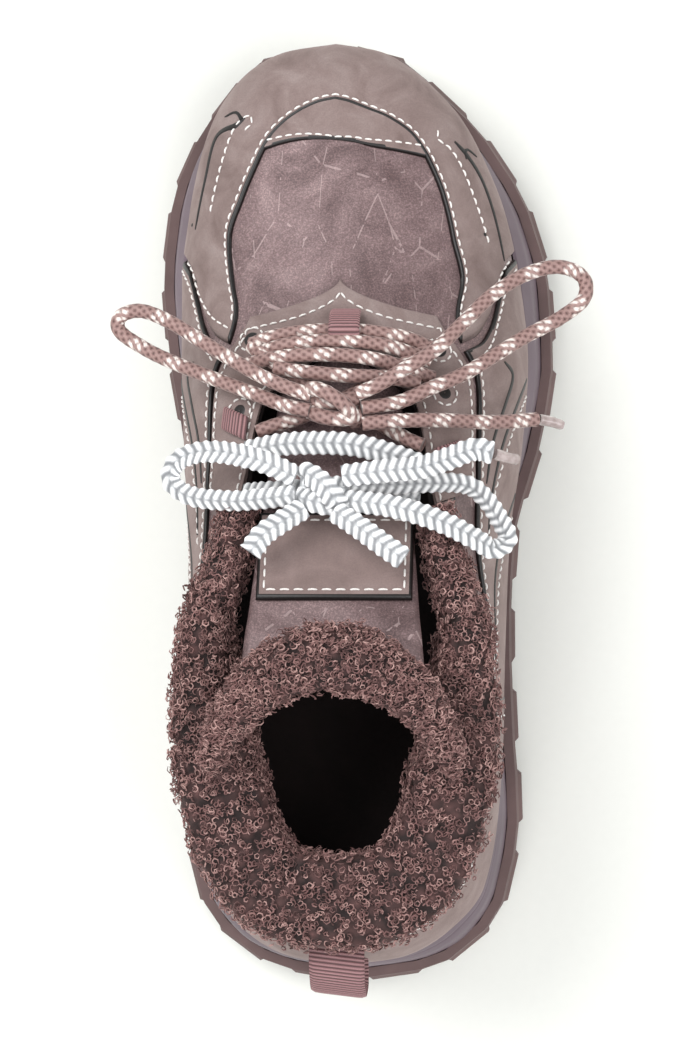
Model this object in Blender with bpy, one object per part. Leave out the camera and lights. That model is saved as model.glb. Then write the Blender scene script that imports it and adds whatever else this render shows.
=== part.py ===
"""A platform sneaker with a fleece collar, for the right foot, modelled as its maker puts it together.

Metres, +Z up, the toe towards +Y and the outer side of the foot towards +X.
The origin is on the floor under the middle of the heel tread.
"""

import bisect
import math

import bpy
import bmesh
from mathutils import Vector

# Driving sizes of the sole
SOLE_LENGTH = 0.298
SOLE_WIDTH = 0.127
HEEL_OVERHANG = 0.045
PLATFORM_HEIGHT = 0.042
HEEL_HEIGHT = 0.051
TOE_SPRING = 0.013
ARCH_RISE = 0.0045
TREAD_DEPTH = 0.0035
OUTSOLE_THICKNESS = 0.0050
RIM_HEIGHT = 0.019
RIM_THICKNESS = 0.0036
SIDE_LUG_REACH = 0.0016
SIDE_LUG_COUNT = 14
SIDE_LUG_SPACE = 0.22
SIDE_LUG_CORNER = 0.06
SIDE_LUG_TOP = 0.68
SIDE_DRAFT = 0.0006
SOLE_EDGE = 0.0030
SOLE_EDGE_RISE = 0.0020
FEATHER_EDGE = 0.0006
MIDSOLE_STEP = 0.0008
MIDSOLE_EDGE = 0.0009
MIDSOLE_WAIST = 0.28
MIDSOLE_SHOULDER = 0.80
TREAD_PITCH = 0.015
TREAD_BAR = 0.009
TREAD_SKEW = 0.004
TREAD_EDGE = 0.006
TREAD_MARGIN = 0.018

# Driving sizes of the upper
UPPER_WALL = 0.0022
VAMP_HEIGHT = 0.050
TONGUE_THICKNESS = 0.0030
TONGUE_DROP = 0.0038
INSOLE_THICKNESS = 0.003
OVERLAY_THICKNESS = 0.0013
GAP = 0.0003
OVERLAY_GAP = 0.0006
THROAT_PANEL_GAP = 0.0010
FLEECE_HEIGHT = 0.010
FLEECE_OVERHANG = 0.005
FLEECE_DEPTH = 0.020
LOCK_HEIGHT = 0.0014
ROLL_HALF_WIDTH = 0.0100
ROLL_HALF_HEIGHT = 0.0056
ROLL_REACH = 1.25

# Driving sizes of the laces, tapes and label
ROUND_LACE = 0.0044
FLAT_LACE = 0.0046
AGLET = 0.0034
TAPE_WIDTH = 0.017
TAPE_THICKNESS = 0.0014
TAPE_STEP = 0.0022
LACE_LOOP_WIDTH = 0.0095
PULL_TOP = 0.90
PULL_LOW = 0.56
PULL_REACH = 0.0165
PULL_TWIST = -0.12
LABEL_HALF_WIDTH = 0.0235
LABEL_BACK = 0.412
LABEL_FRONT = 0.500
LABEL_THICKNESS = 0.0014

# How finely the curved skins are stepped
FRONT_STEPS = 12
BACK_STEPS = 10
HEEL_STEPS = 8
HEEL_TURN = 0.88
WALL_STEPS = 8
SMALL_STEP = 0.004

HALF_WIDTH = SOLE_WIDTH / 2

# Sole outline: along is the share of the length from the heel, left and right are shares of the half width
SOLE_COLUMNS = ("s", "along", "left", "right")
SOLE_ROWS = (
    (0.000, 1.000, -0.035, -0.035),
    (0.050, 0.992, -0.330, 0.200),
    (0.100, 0.974, -0.490, 0.350),
    (0.150, 0.950, -0.590, 0.465),
    (0.200, 0.918, -0.710, 0.630),
    (0.270, 0.870, -0.840, 0.800),
    (0.340, 0.815, -0.910, 0.930),
    (0.420, 0.745, -0.940, 1.010),
    (0.500, 0.660, -0.905, 1.030),
    (0.580, 0.570, -0.835, 0.960),
    (0.660, 0.475, -0.800, 0.840),
    (0.740, 0.375, -0.800, 0.820),
    (0.820, 0.270, -0.815, 0.835),
    (0.880, 0.180, -0.825, 0.860),
    (0.930, 0.095, -0.760, 0.800),
    (0.965, 0.040, -0.580, 0.640),
    (0.985, 0.012, -0.310, 0.390),
    (1.000, 0.000, 0.030, 0.030),
)

# Upper: the feather line where it meets the sole, and the crown line along the ridge, throat and collar
UPPER_COLUMNS = (
    "s", "along", "left", "right",
    "crown_along", "crown_half", "crown_height",
    "bulge", "rise", "reach", "upright",
)
UPPER_ROWS = (
    (0.000, 0.9925, -0.035, -0.035, 0.905, 0.000, 0.58, 0.02, 0.68, 0.50, 0.0),
    (0.050, 0.9845, -0.280, 0.175, 0.902, 0.000, 0.585, 0.02, 0.68, 0.50, 0.0),
    (0.100, 0.9660, -0.450, 0.330, 0.894, 0.000, 0.60, 0.02, 0.68, 0.50, 0.0),
    (0.150, 0.9430, -0.550, 0.450, 0.880, 0.000, 0.625, 0.03, 0.66, 0.50, 0.0),
    (0.200, 0.9150, -0.630, 0.565, 0.858, 0.000, 0.665, 0.03, 0.65, 0.50, 0.0),
    (0.270, 0.8700, -0.700, 0.680, 0.818, 0.000, 0.735, 0.03, 0.64, 0.50, 0.0),
    (0.340, 0.8150, -0.750, 0.780, 0.765, 0.000, 0.82, 0.03, 0.62, 0.50, 0.0),
    (0.420, 0.7450, -0.785, 0.850, 0.690, 0.000, 1.00, 0.03, 0.60, 0.48, 0.0),
    (0.500, 0.6600, -0.780, 0.890, 0.610, 0.370, 1.16, 0.03, 0.58, 0.45, 0.0),
    (0.580, 0.5700, -0.765, 0.860, 0.530, 0.440, 1.30, 0.03, 0.52, 0.42, 0.1),
    (0.660, 0.4750, -0.740, 0.800, 0.455, 0.530, 1.43, 0.03, 0.46, 0.40, 0.4),
    (0.740, 0.3750, -0.725, 0.780, 0.375, 0.660, 1.57, 0.03, 0.38, 0.36, 0.9),
    (0.820, 0.2700, -0.710, 0.765, 0.275, 0.690, 1.55, 0.03, 0.34, 0.34, 1.0),
    (0.880, 0.1850, -0.685, 0.740, 0.195, 0.640, 1.50, 0.03, 0.34, 0.34, 1.0),
    (0.930, 0.1100, -0.605, 0.670, 0.130, 0.520, 1.49, 0.04, 0.34, 0.34, 1.0),
    (0.965, 0.0650, -0.440, 0.490, 0.095, 0.350, 1.51, 0.05, 0.34, 0.34, 1.0),
    (0.985, 0.0420, -0.230, 0.280, 0.082, 0.190, 1.53, 0.06, 0.34, 0.34, 1.0),
    (1.000, 0.0340, 0.020, 0.020, 0.078, 0.000, 1.53, 0.06, 0.34, 0.34, 1.0),
)
THROAT_START = 0.42
CROWN_FALL = 0.5
TOE_LIFT = 0.35

# Heights along the shoe, each a share of the named size that it follows
PROFILE_COLUMNS = ("along", "tread", "arch", "heel", "rim", "centre")
PROFILE_ROWS = (
    (0.00, 0.25, 0.0, 1.0, 1.05, 0.02),
    (0.06, 0.00, 0.0, 1.0, 1.00, 0.02),
    (0.28, 0.00, 0.0, 1.0, 0.95, 0.02),
    (0.40, 0.00, 1.0, 0.7, 0.90, 0.02),
    (0.52, 0.00, 0.0, 0.3, 0.90, 0.02),
    (0.70, 0.00, 0.0, 0.0, 0.90, 0.02),
    (0.80, 0.10, 0.0, 0.0, 0.95, 0.00),
    (0.90, 0.42, 0.0, 0.0, 1.05, -0.02),
    (1.00, 1.00, 0.0, 0.0, 1.25, -0.04),
)


def smooth(rows, column):
    """A curve through the rows' values against their first column, with no overshoot between them."""
    at = [row[0] for row in rows]
    value = [row[column] for row in rows]
    slope = [(value[i + 1] - value[i]) / (at[i + 1] - at[i]) for i in range(len(at) - 1)]
    tangent = [0.0] * len(at)
    tangent[0] = slope[0]
    tangent[-1] = slope[-1]
    for i in range(1, len(at) - 1):
        if slope[i - 1] * slope[i] > 0:
            tangent[i] = 2 * slope[i - 1] * slope[i] / (slope[i - 1] + slope[i])

    def curve(x):
        x = min(max(x, at[0]), at[-1])
        i = min(bisect.bisect_right(at, x) - 1, len(at) - 2)
        width = at[i + 1] - at[i]
        t = (x - at[i]) / width
        return (
            value[i] * (1 + 2 * t) * (1 - t) ** 2
            + tangent[i] * width * t * (1 - t) ** 2
            + value[i + 1] * t * t * (3 - 2 * t)
            + tangent[i + 1] * width * t * t * (t - 1)
        )

    return curve


SOLE = {name: smooth(SOLE_ROWS, i) for i, name in enumerate(SOLE_COLUMNS)}
UPPER = {name: smooth(UPPER_ROWS, i) for i, name in enumerate(UPPER_COLUMNS)}
PROFILE = {name: smooth(PROFILE_ROWS, i) for i, name in enumerate(PROFILE_COLUMNS)}


def y_at(along):
    return along * SOLE_LENGTH - HEEL_OVERHANG


def centre_x(along):
    return PROFILE["centre"](along) * HALF_WIDTH


def ground(along):
    """Height of the tread's lowest points over the floor."""
    return PROFILE["tread"](along) * TOE_SPRING + PROFILE["arch"](along) * ARCH_RISE


def feather_height(along):
    """Height of the line where the upper meets the sole."""
    spring = PROFILE["tread"](along) * TOE_SPRING * (TOE_LIFT if along > 0.5 else 0.0)
    return PLATFORM_HEIGHT + spring + PROFILE["heel"](along) * (HEEL_HEIGHT - PLATFORM_HEIGHT)


def outline_plan(curves, u, inset):
    """Plan point of an outline, moved inwards: u runs from -1 (heel) over the inner side to 0 (toe) and on to 1."""

    def outline(v):
        column = curves["right" if v > 0 else "left"]
        w = abs(v)
        if w > 1:
            w = 2 - w
            column = curves["left" if v > 0 else "right"]
        return Vector((column(w) * HALF_WIDTH, y_at(curves["along"](w))))

    along = outline(u + SMALL_STEP) - outline(u - SMALL_STEP)
    inward = Vector((along.y, -along.x)).normalized()
    return outline(u) + inward * inset


def sole_plan(u, inset=0.0):
    return outline_plan(SOLE, u, inset)


def feather_plan(u, inset=0.0):
    """Plan point of the line where the upper meets the sole."""
    return outline_plan(UPPER, u, inset)


def ridge_height(along):
    """Height of the closed instep's ridge, over which the tongue and the throat's edges lie."""
    return PLATFORM_HEIGHT + VAMP_HEIGHT * RIDGE(along)


RIDGE = smooth(
    (
        (0.30, 2.10),
        (0.375, 1.95),
        (0.455, 1.66),
        (0.530, 1.42),
        (0.610, 1.21),
        (0.690, 1.00),
        (0.765, 0.82),
        (0.818, 0.735),
        (0.858, 0.665),
        (0.880, 0.625),
        (0.905, 0.58),
    ),
    1,
)


def ridge_slope(along):
    step = 0.01
    return (ridge_height(along + step) - ridge_height(along - step)) / (2 * step * SOLE_LENGTH)


def wall_curve(u):
    """The four control points of the upper's wall at u, from the feather line up to the crown line."""
    s = abs(u)
    side = 1 if u > 0 else -1
    along = UPPER["along"](s)
    crown_along = UPPER["crown_along"](s)
    foot_plan = feather_plan(u)
    foot = Vector((foot_plan.x, foot_plan.y, feather_height(along)))
    half = UPPER["crown_half"](s) * HALF_WIDTH
    crown = Vector(
        (
            centre_x(crown_along) + side * half,
            y_at(crown_along),
            PLATFORM_HEIGHT + UPPER["crown_height"](s) * VAMP_HEIGHT,
        )
    )
    rise = crown.z - foot.z
    outward_plan = feather_plan(u, -1.0) - foot_plan
    outward = Vector((outward_plan.x, outward_plan.y, 0))
    low = foot + outward * UPPER["bulge"](s) * HALF_WIDTH + Vector((0, 0, rise * UPPER["rise"](s)))
    away = Vector((foot.x - crown.x, foot.y - crown.y, 0))
    fall = CROWN_FALL * half / HALF_WIDTH
    arch = away + Vector((0, 0, away.y * ridge_slope(crown_along) - away.xy.length * fall))
    stand = Vector((0, 0, -rise)) + outward * UPPER["bulge"](s) * HALF_WIDTH
    upright = UPPER["upright"](s)
    high = crown + (arch * (1 - upright) + stand * upright) * UPPER["reach"](s)
    return foot, low, high, crown


def wall_point(u, h):
    a, b, c, d = wall_curve(u)
    k = 1 - h
    return a * k**3 + b * 3 * k * k * h + c * 3 * k * h * h + d * h**3


def wall_normal(u, h):
    """Outward normal of the upper's outer skin."""
    a, b, c, d = wall_curve(u)
    k = 1 - h
    up = (b - a) * k * k + (c - b) * 2 * k * h + (d - c) * h * h
    if abs(u) < SMALL_STEP:
        round_it = wall_point(SMALL_STEP, h) - wall_point(-SMALL_STEP, h)
    elif abs(u) > 1 - SMALL_STEP:
        side = 1 if u > 0 else -1
        before = side * (1 - SMALL_STEP)
        round_it = (wall_point(-before, h) - wall_point(before, h)) * side
    else:
        round_it = wall_point(u + SMALL_STEP, h) - wall_point(u - SMALL_STEP, h)
    if h > 0.999 and abs(u) <= THROAT_START:
        return Vector((0, -ridge_slope(UPPER["crown_along"](abs(u))), 1)).normalized()
    return up.cross(round_it).normalized()


def skin_point(u, h, offset=0.0):
    """A point at this distance outside the upper's outer skin."""
    return wall_point(u, h) + wall_normal(u, h) * offset


def path_table(samples=400):
    """How far each station lies from the toe along the sole's outer side."""
    table = [(0.0, 0.0)]
    before = sole_plan(0.0)
    for k in range(1, samples + 1):
        place = sole_plan(k / samples)
        table.append((k / samples, table[-1][1] + (place - before).length))
        before = place
    return table


PATH = path_table()
DISTANCE = smooth(PATH, 1)
STATION = smooth([(far, s) for s, far in PATH], 1)


def even(start, end, steps):
    """Stations from start to end, the same distance apart along the sole's side."""
    first, last = DISTANCE(start), DISTANCE(end)
    inner = [STATION(first + (last - first) * k / steps) for k in range(1, steps)]
    return [start] + inner + [end]


def side_stations(front_steps=FRONT_STEPS, back_steps=BACK_STEPS):
    """Stations of one side from the toe to the heel, one of them where the throat opens."""
    front = even(0.0, THROAT_START, front_steps)
    waist = even(THROAT_START, HEEL_TURN, back_steps)
    heel = even(HEEL_TURN, 1.0, HEEL_STEPS)
    return front[:-1] + waist[:-1] + heel


def stations_between(start, end):
    """The upper's own stations of one side between two others, so that an overlay's facets lie along it."""
    inner = [s for s in side_stations() if start + 0.004 < s < end - 0.004]
    return [start] + inner + [end]


def round_stations(front_steps=FRONT_STEPS, back_steps=BACK_STEPS):
    """Stations all the way round, from the heel over the inner side and the toe to the outer side."""
    side = side_stations(front_steps, back_steps)
    return [-s for s in reversed(side)] + side[1:-1]


def material(name, colour, roughness, metallic=0.0):
    made = bpy.data.materials.new(name)
    made.use_nodes = True
    shader = made.node_tree.nodes["Principled BSDF"]
    linear = [(c / 255 / 12.92) if c < 11 else ((c / 255 + 0.055) / 1.055) ** 2.4 for c in colour]
    shader.inputs["Base Color"].default_value = (*linear, 1)
    shader.inputs["Roughness"].default_value = roughness
    shader.inputs["Metallic"].default_value = metallic
    made.diffuse_color = (*linear, 1)
    return made


def add_object(name, mesh_builder, surface, smooth_angle=40):
    """Turns a bmesh into a named object with its own material."""
    bmesh.ops.recalc_face_normals(mesh_builder, faces=mesh_builder.faces)
    bmesh.ops.triangulate(mesh_builder, faces=mesh_builder.faces)
    mesh = bpy.data.meshes.new(name)
    mesh_builder.to_mesh(mesh)
    mesh_builder.free()
    mesh.materials.append(surface)
    mesh.shade_smooth()
    mesh.set_sharp_from_angle(angle=math.radians(smooth_angle))
    made = bpy.data.objects.new(name, mesh)
    bpy.context.scene.collection.objects.link(made)
    return made


def loft(rings):
    """A closed solid through rings that run from the heel round the toe, each end closed straight across."""
    made = bmesh.new()
    points = [[made.verts.new(p) for p in ring] for ring in rings]
    count = len(rings[0])
    for lower, upper_ring in zip(points, points[1:]):
        for i in range(count):
            j = (i + 1) % count
            made.faces.new((lower[i], lower[j], upper_ring[j], upper_ring[i]))
    half = count // 2
    for ring, flip in ((points[0], True), (points[-1], False)):
        for i in range(half):
            corners = [ring[i], ring[i + 1], ring[count - i - 1], ring[(count - i) % count]]
            corners = list(dict.fromkeys(corners))
            made.faces.new(reversed(corners) if flip else corners)
    return made


def sheet_solid(outer, inner):
    """A closed solid between two grids of points, walled in along their four edges."""
    made = bmesh.new()
    rows, columns = len(outer), len(outer[0])
    top = [[made.verts.new(p) for p in row] for row in outer]
    under = [[made.verts.new(p) for p in row] for row in inner]
    for i in range(rows - 1):
        for j in range(columns - 1):
            made.faces.new((top[i][j], top[i + 1][j], top[i + 1][j + 1], top[i][j + 1]))
            made.faces.new((under[i][j], under[i][j + 1], under[i + 1][j + 1], under[i + 1][j]))
    edge = [(i, 0) for i in range(rows)] + [(rows - 1, j) for j in range(1, columns)]
    edge += [(i, columns - 1) for i in range(rows - 2, -1, -1)] + [(0, j) for j in range(columns - 2, 0, -1)]
    for (i, j), (k, m) in zip(edge, edge[1:] + edge[:1]):
        made.faces.new((top[i][j], under[i][j], under[k][m], top[k][m]))
    return made


def build_upper(surface):
    """One hollow wall: closed over the forefoot's ridge, open at the throat, collar and underneath."""
    stations = round_stations()
    made = bmesh.new()
    skins = []
    for offset in (0.0, -UPPER_WALL):
        ridge = {}
        grid = []
        for u in stations:
            column = []
            for row in range(WALL_STEPS + 1):
                h = row / WALL_STEPS
                place = skin_point(u, h, offset)
                meets = row == WALL_STEPS and abs(u) < THROAT_START + 1e-6
                key = round(abs(u), 5)
                if meets and key in ridge:
                    column.append(ridge[key])
                    continue
                column.append(made.verts.new(place))
                if meets:
                    ridge[key] = column[-1]
            grid.append(column)
        skins.append(grid)
    count = len(stations)
    for grid, flip in zip(skins, (False, True)):
        for i in range(count):
            j = (i + 1) % count
            for row in range(WALL_STEPS):
                corners = (grid[i][row], grid[j][row], grid[j][row + 1], grid[i][row + 1])
                corners = list(dict.fromkeys(corners))
                made.faces.new(reversed(corners) if flip else corners)
    outer, inner = skins
    for i in range(count):
        j = (i + 1) % count
        made.faces.new((outer[i][0], inner[i][0], inner[j][0], outer[j][0]))
        if max(abs(stations[i]), abs(stations[j])) > THROAT_START + 1e-6:
            made.faces.new((outer[i][-1], outer[j][-1], inner[j][-1], inner[i][-1]))
    return add_object("upper", made, surface)


def base(along):
    """Height of the outsole's underside between its lugs."""
    return ground(along) + TREAD_DEPTH


def rim_top(along):
    return ground(along) + TREAD_DEPTH + RIM_HEIGHT * PROFILE["rim"](along)


def sole_ring(stations, inset, height):
    """A ring of points at this inset from the sole's outline; both sizes may depend on the station."""
    ring = []
    for u in stations:
        along = SOLE["along"](abs(u))
        plan = sole_plan(u, inset(u) if callable(inset) else inset)
        ring.append(Vector((plan.x, plan.y, height(along))))
    return ring


def lug_stations():
    """Stations at both corners of each lug on the sole's side, all the way round."""
    side = []
    pitch = DISTANCE(1.0) / SIDE_LUG_COUNT
    start, end = SIDE_LUG_SPACE, 1 - SIDE_LUG_SPACE
    for k in range(SIDE_LUG_COUNT):
        for share in (start - SIDE_LUG_CORNER, start, end, end + SIDE_LUG_CORNER):
            side.append((STATION((k + share) * pitch), share in (start, end)))
    stations = [(-1.0, False)] + [(-s, out) for s, out in reversed(side)]
    return stations + [(0.0, False)] + side


def join(target, other, operation):
    """Adds a Boolean to target with a helper object that isn't part of the model."""
    other.hide_render = True
    other.display_type = "WIRE"
    cut = target.modifiers.new(other.name, "BOOLEAN")
    cut.operation = operation
    cut.solver = "EXACT"
    cut.object = other


def prism(made, corners, low, high):
    """Adds an upright prism over plan corners that run anticlockwise."""
    under = [made.verts.new((x, y, low)) for x, y in corners]
    top = [made.verts.new((x, y, high)) for x, y in corners]
    count = len(corners)
    made.faces.new(list(reversed(under)))
    made.faces.new(top)
    for i in range(count):
        j = (i + 1) % count
        made.faces.new((under[i], under[j], top[j], top[i]))


def sole_side_x(along, side):
    """Where the sole's edge lies across at this share of its length."""
    low, high = 0.0, 1.0
    for _ in range(30):
        middle = (low + high) / 2
        if SOLE["along"](middle) > along:
            low = middle
        else:
            high = middle
    return SOLE[side](low) * HALF_WIDTH


def tread_bars(surface):
    """Cross bars in a shallow V under the sole, one of them at the origin."""
    made = bmesh.new()
    first = math.ceil((TREAD_MARGIN - HEEL_OVERHANG) / TREAD_PITCH)
    last = math.floor((SOLE_LENGTH - TREAD_MARGIN - HEEL_OVERHANG) / TREAD_PITCH)
    for k in range(first, last + 1):
        y = k * TREAD_PITCH
        along = (y + HEEL_OVERHANG) / SOLE_LENGTH
        half = TREAD_BAR / 2
        ends = [along + shift / SOLE_LENGTH for shift in (-half - TREAD_SKEW, half - TREAD_SKEW)]
        left = max(sole_side_x(end, "left") for end in ends) + TREAD_EDGE
        right = min(sole_side_x(end, "right") for end in ends) - TREAD_EDGE
        corners = (
            (left, y - half - TREAD_SKEW),
            (0.0, y - half),
            (right, y - half - TREAD_SKEW),
            (right, y + half - TREAD_SKEW),
            (0.0, y + half),
            (left, y + half - TREAD_SKEW),
        )
        prism(made, corners, ground(along), base(along) + 0.35 * OUTSOLE_THICKNESS)
    return add_object("tread_bars", made, surface)


def build_outsole(surface):
    """A rubber tray with lugs along its side and under its tread."""
    marked = lug_stations()
    stations = [u for u, _ in marked]
    reach = {u: (SIDE_LUG_REACH if out else 0.0) for u, out in marked}

    def lug_face(u):
        return SIDE_DRAFT - reach[u]

    def part_way(share):
        return lambda along: base(along) + share * (rim_top(along) - base(along))

    rings = [
        sole_ring(stations, SOLE_EDGE, base),
        sole_ring(stations, lug_face, lambda along: base(along) + SOLE_EDGE_RISE),
        sole_ring(stations, lug_face, part_way(SIDE_LUG_TOP - 0.1)),
        sole_ring(stations, 0.0, part_way(SIDE_LUG_TOP)),
        sole_ring(stations, SIDE_DRAFT, rim_top),
        sole_ring(stations, RIM_THICKNESS, rim_top),
        sole_ring(stations, RIM_THICKNESS, lambda along: base(along) + OUTSOLE_THICKNESS),
    ]
    outsole = add_object("outsole", loft(rings), surface, 30)
    join(outsole, tread_bars(surface), "UNION")
    return outsole


def midsole_ring(stations, share, height):
    """A ring between the rim's inner face (share 0) and the feather line (share 1)."""
    ring = []
    for u in stations:
        plan = sole_plan(u, RIM_THICKNESS + GAP).lerp(feather_plan(u, -FEATHER_EDGE), share)
        ring.append(Vector((plan.x, plan.y, height(SOLE["along"](abs(u)), UPPER["along"](abs(u))))))
    return ring


def build_midsole(surface):
    """A foam wedge that swells from the outsole's rim in to the upper, with a rounded top edge."""
    stations = [u for u, _ in lug_stations()]

    def top(along):
        return feather_height(along) - GAP

    rings = [
        midsole_ring(stations, 0.0, lambda low, high: base(low) + OUTSOLE_THICKNESS + GAP),
        midsole_ring(stations, 0.0, lambda low, high: rim_top(low) + MIDSOLE_STEP),
        midsole_ring(stations, MIDSOLE_WAIST, lambda low, high: rim_top(low) * 0.35 + top(high) * 0.65),
        midsole_ring(stations, MIDSOLE_SHOULDER, lambda low, high: top(high) - MIDSOLE_EDGE),
        midsole_ring(stations, 1.0, lambda low, high: top(high)),
    ]
    return add_object("midsole", loft(rings), surface)


def insole_ring(stations, inset, lift):
    ring = []
    for u in stations:
        plan = feather_plan(u, inset)
        ring.append(Vector((plan.x, plan.y, feather_height(UPPER["along"](abs(u))) + lift)))
    return ring


def build_insole(surface):
    stations = round_stations(9, 12)
    inset = UPPER_WALL + 2 * GAP
    rings = [
        insole_ring(stations, inset, 0.0),
        insole_ring(stations, inset, INSOLE_THICKNESS),
    ]
    return add_object("insole", loft(rings), surface)


# Edge of the toe guard: how far up the wall it reaches on each side
GUARD_ROWS = (
    (0.00, 0.80, 0.80),
    (0.05, 0.79, 0.79),
    (0.10, 0.75, 0.74),
    (0.15, 0.69, 0.65),
    (0.20, 0.63, 0.57),
    (0.25, 0.59, 0.535),
    (0.30, 0.545, 0.52),
    (0.35, 0.50, 0.52),
    (0.40, 0.53, 0.50),
    (0.46, 0.60, 0.60),
)
GUARD = {"left": smooth(GUARD_ROWS, 1), "right": smooth(GUARD_ROWS, 2)}
GUARD_END = 0.46
CAP_RIDGE_END = 0.115
CAP_SIDE_END = 0.225
THROAT_PANEL_RIDGE = 0.365
THROAT_PANEL_SIDE = 0.435
THROAT_PANEL_END = 0.600
THROAT_PANEL_LOW = 0.63
QUARTER_START = 0.480
QUARTER_END = 0.780
COUNTER_START = 0.800
SEAM = 0.02


def guard_edge(u):
    return GUARD["right" if u > 0 else "left"](abs(u))


def patch(name, quads, surface, inner, outer):
    """An overlay over the upper's wall: quads holds the (u, h) corners of its cells."""
    made = bmesh.new()
    skins = []
    for offset in (outer, inner):
        points = {}
        faces = []
        for quad in quads:
            corners = []
            for u, h in quad:
                key = (round(abs(u) if u == 0 or (h > 0.9999 and abs(u) < THROAT_START + 1e-6) else u, 6), round(h, 6))
                if abs(u) > 0.99999:
                    key = (1.0, round(h, 6))
                if key not in points:
                    points[key] = made.verts.new(skin_point(u, h, offset))
                corners.append(points[key])
            corners = list(dict.fromkeys(corners))
            if len(corners) > 2:
                faces.append(corners)
        skins.append((points, faces))
    (outer_points, outer_faces), (inner_points, _) = skins
    twin = {outer_points[key]: inner_points[key] for key in outer_points}
    for corners in outer_faces:
        made.faces.new(corners)
        made.faces.new([twin[v] for v in reversed(corners)])
    edges = {}
    for corners in outer_faces:
        for a, b in zip(corners, corners[1:] + corners[:1]):
            edges[(a, b)] = True
    for a, b in edges:
        if (b, a) not in edges:
            made.faces.new((b, a, twin[a], twin[b]))
    return add_object(name, made, surface)


def strip_quads(stations, low, high, steps):
    """Cells between two edges of the wall, given by functions of the station."""
    quads = []
    for a, b in zip(stations, stations[1:]):
        for k in range(steps):
            cell = []
            for u, share in ((a, k), (b, k), (b, k + 1), (a, k + 1)):
                cell.append((u, low(u) + (high(u) - low(u)) * share / steps))
            quads.append(cell)
    return quads


def build_toe_guard(surface):
    side = stations_between(0.0, GUARD_END)
    stations = [-s for s in reversed(side)] + side[1:]
    quads = strip_quads(stations, lambda u: 0.02, guard_edge, 4)
    return patch("toe_guard", quads, surface, OVERLAY_GAP, OVERLAY_GAP + OVERLAY_THICKNESS)


def build_toe_cap(surface):
    """The band between the toe guard and the vamp, across the ridge."""
    across, deep = 8, 5
    quads = []

    def corner(side, row, column):
        share = column / across
        end = CAP_RIDGE_END + (CAP_SIDE_END - CAP_RIDGE_END) * (1 - share) ** 1.3
        s = end * row / deep
        low = guard_edge(side * s if s else side * 1e-9) + SEAM
        return (side * s, low + (1 - low) * share)

    for side in (-1, 1):
        for row in range(deep):
            for column in range(across):
                cell = [corner(side, row, column), corner(side, row + 1, column)]
                cell += [corner(side, row + 1, column + 1), corner(side, row, column + 1)]
                quads.append(cell if side > 0 else cell[::-1])
    return patch("toe_cap", quads, surface, OVERLAY_GAP, OVERLAY_GAP + OVERLAY_THICKNESS)


def build_throat_panel(surface):
    """The half-moon in front of the throat with its two lace rows behind."""
    rows = 5
    front, back = 3, 7
    quads = []

    def station(h, column):
        share = (1 - h) / (1 - THROAT_PANEL_LOW)
        start = THROAT_PANEL_RIDGE + (THROAT_PANEL_SIDE - THROAT_PANEL_RIDGE) * share ** 0.7
        turn = THROAT_START + 0.5 * max(0.0, start - THROAT_PANEL_RIDGE)
        if column <= front:
            return start + (turn - start) * column / front
        return turn + (THROAT_PANEL_END - turn) * (column - front) / back

    for side in (-1, 1):
        for row in range(rows):
            low = THROAT_PANEL_LOW + (1 - THROAT_PANEL_LOW) * row / rows
            high = THROAT_PANEL_LOW + (1 - THROAT_PANEL_LOW) * (row + 1) / rows
            for column in range(front + back):
                cell = [
                    (side * station(low, column), low),
                    (side * station(low, column + 1), low),
                    (side * station(high, column + 1), high),
                    (side * station(high, column), high),
                ]
                quads.append(cell if side > 0 else cell[::-1])
    return patch("throat_panel", quads, surface, THROAT_PANEL_GAP, THROAT_PANEL_GAP + OVERLAY_THICKNESS)


def build_quarter(name, side, surface):
    """The side panel between the toe guard and the heel counter."""
    stations = stations_between(QUARTER_START, QUARTER_END)
    if side < 0:
        stations = [-s for s in reversed(stations)]
    top = THROAT_PANEL_LOW - SEAM
    quads = strip_quads(stations, lambda u: 0.02, lambda u: top, 5)
    return patch(name, quads, surface, OVERLAY_GAP, OVERLAY_GAP + OVERLAY_THICKNESS)


def build_heel_counter(surface):
    side = stations_between(COUNTER_START, 1.0)
    stations = side + [-s for s in reversed(side[:-1])]
    top = THROAT_PANEL_LOW - SEAM
    quads = strip_quads(stations, lambda u: 0.02, lambda u: top, 4)
    return patch("heel_counter", quads, surface, OVERLAY_GAP, OVERLAY_GAP + OVERLAY_THICKNESS)


# Tongue: half width as a share of the half width of the sole, how much it arches, how far it lies under the ridge
TONGUE_ROWS = (
    (0.290, 0.44, 0.52, 0.40),
    (0.335, 0.44, 0.38, 0.40),
    (0.400, 0.41, 0.26, 0.60),
    (0.455, 0.385, 0.26, 0.90),
    (0.530, 0.350, 0.34, 1.00),
    (0.610, 0.310, 0.50, 1.05),
    (0.690, 0.270, 0.90, 0.80),
    (0.715, 0.240, 1.00, 0.72),
)
TONGUE = {name: smooth(TONGUE_ROWS, i) for i, name in enumerate(("along", "half", "arch", "drop"))}
TONGUE_TOP = 0.350
TONGUE_DROOP = 0.055
TONGUE_FRONT = 0.712


def tongue_point(along, across, depth=0.0):
    """A point of the tongue's upper face, across from -1 to 1, at this depth below it."""
    half = TONGUE["half"](along) * HALF_WIDTH
    x = across * half
    height = ridge_height(along) - TONGUE["drop"](along) * TONGUE_DROP
    height -= TONGUE["arch"](along) * x * x / HALF_WIDTH
    normal = Vector((2 * TONGUE["arch"](along) * x / HALF_WIDTH, -ridge_slope(along), 1)).normalized()
    return Vector((centre_x(along) + x, y_at(along), height)) - normal * depth


def tongue_end(across):
    """How far along the tongue's free end lies: it droops back towards both sides."""
    return TONGUE_TOP - TONGUE_DROOP * abs(across) ** 2.2


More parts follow.
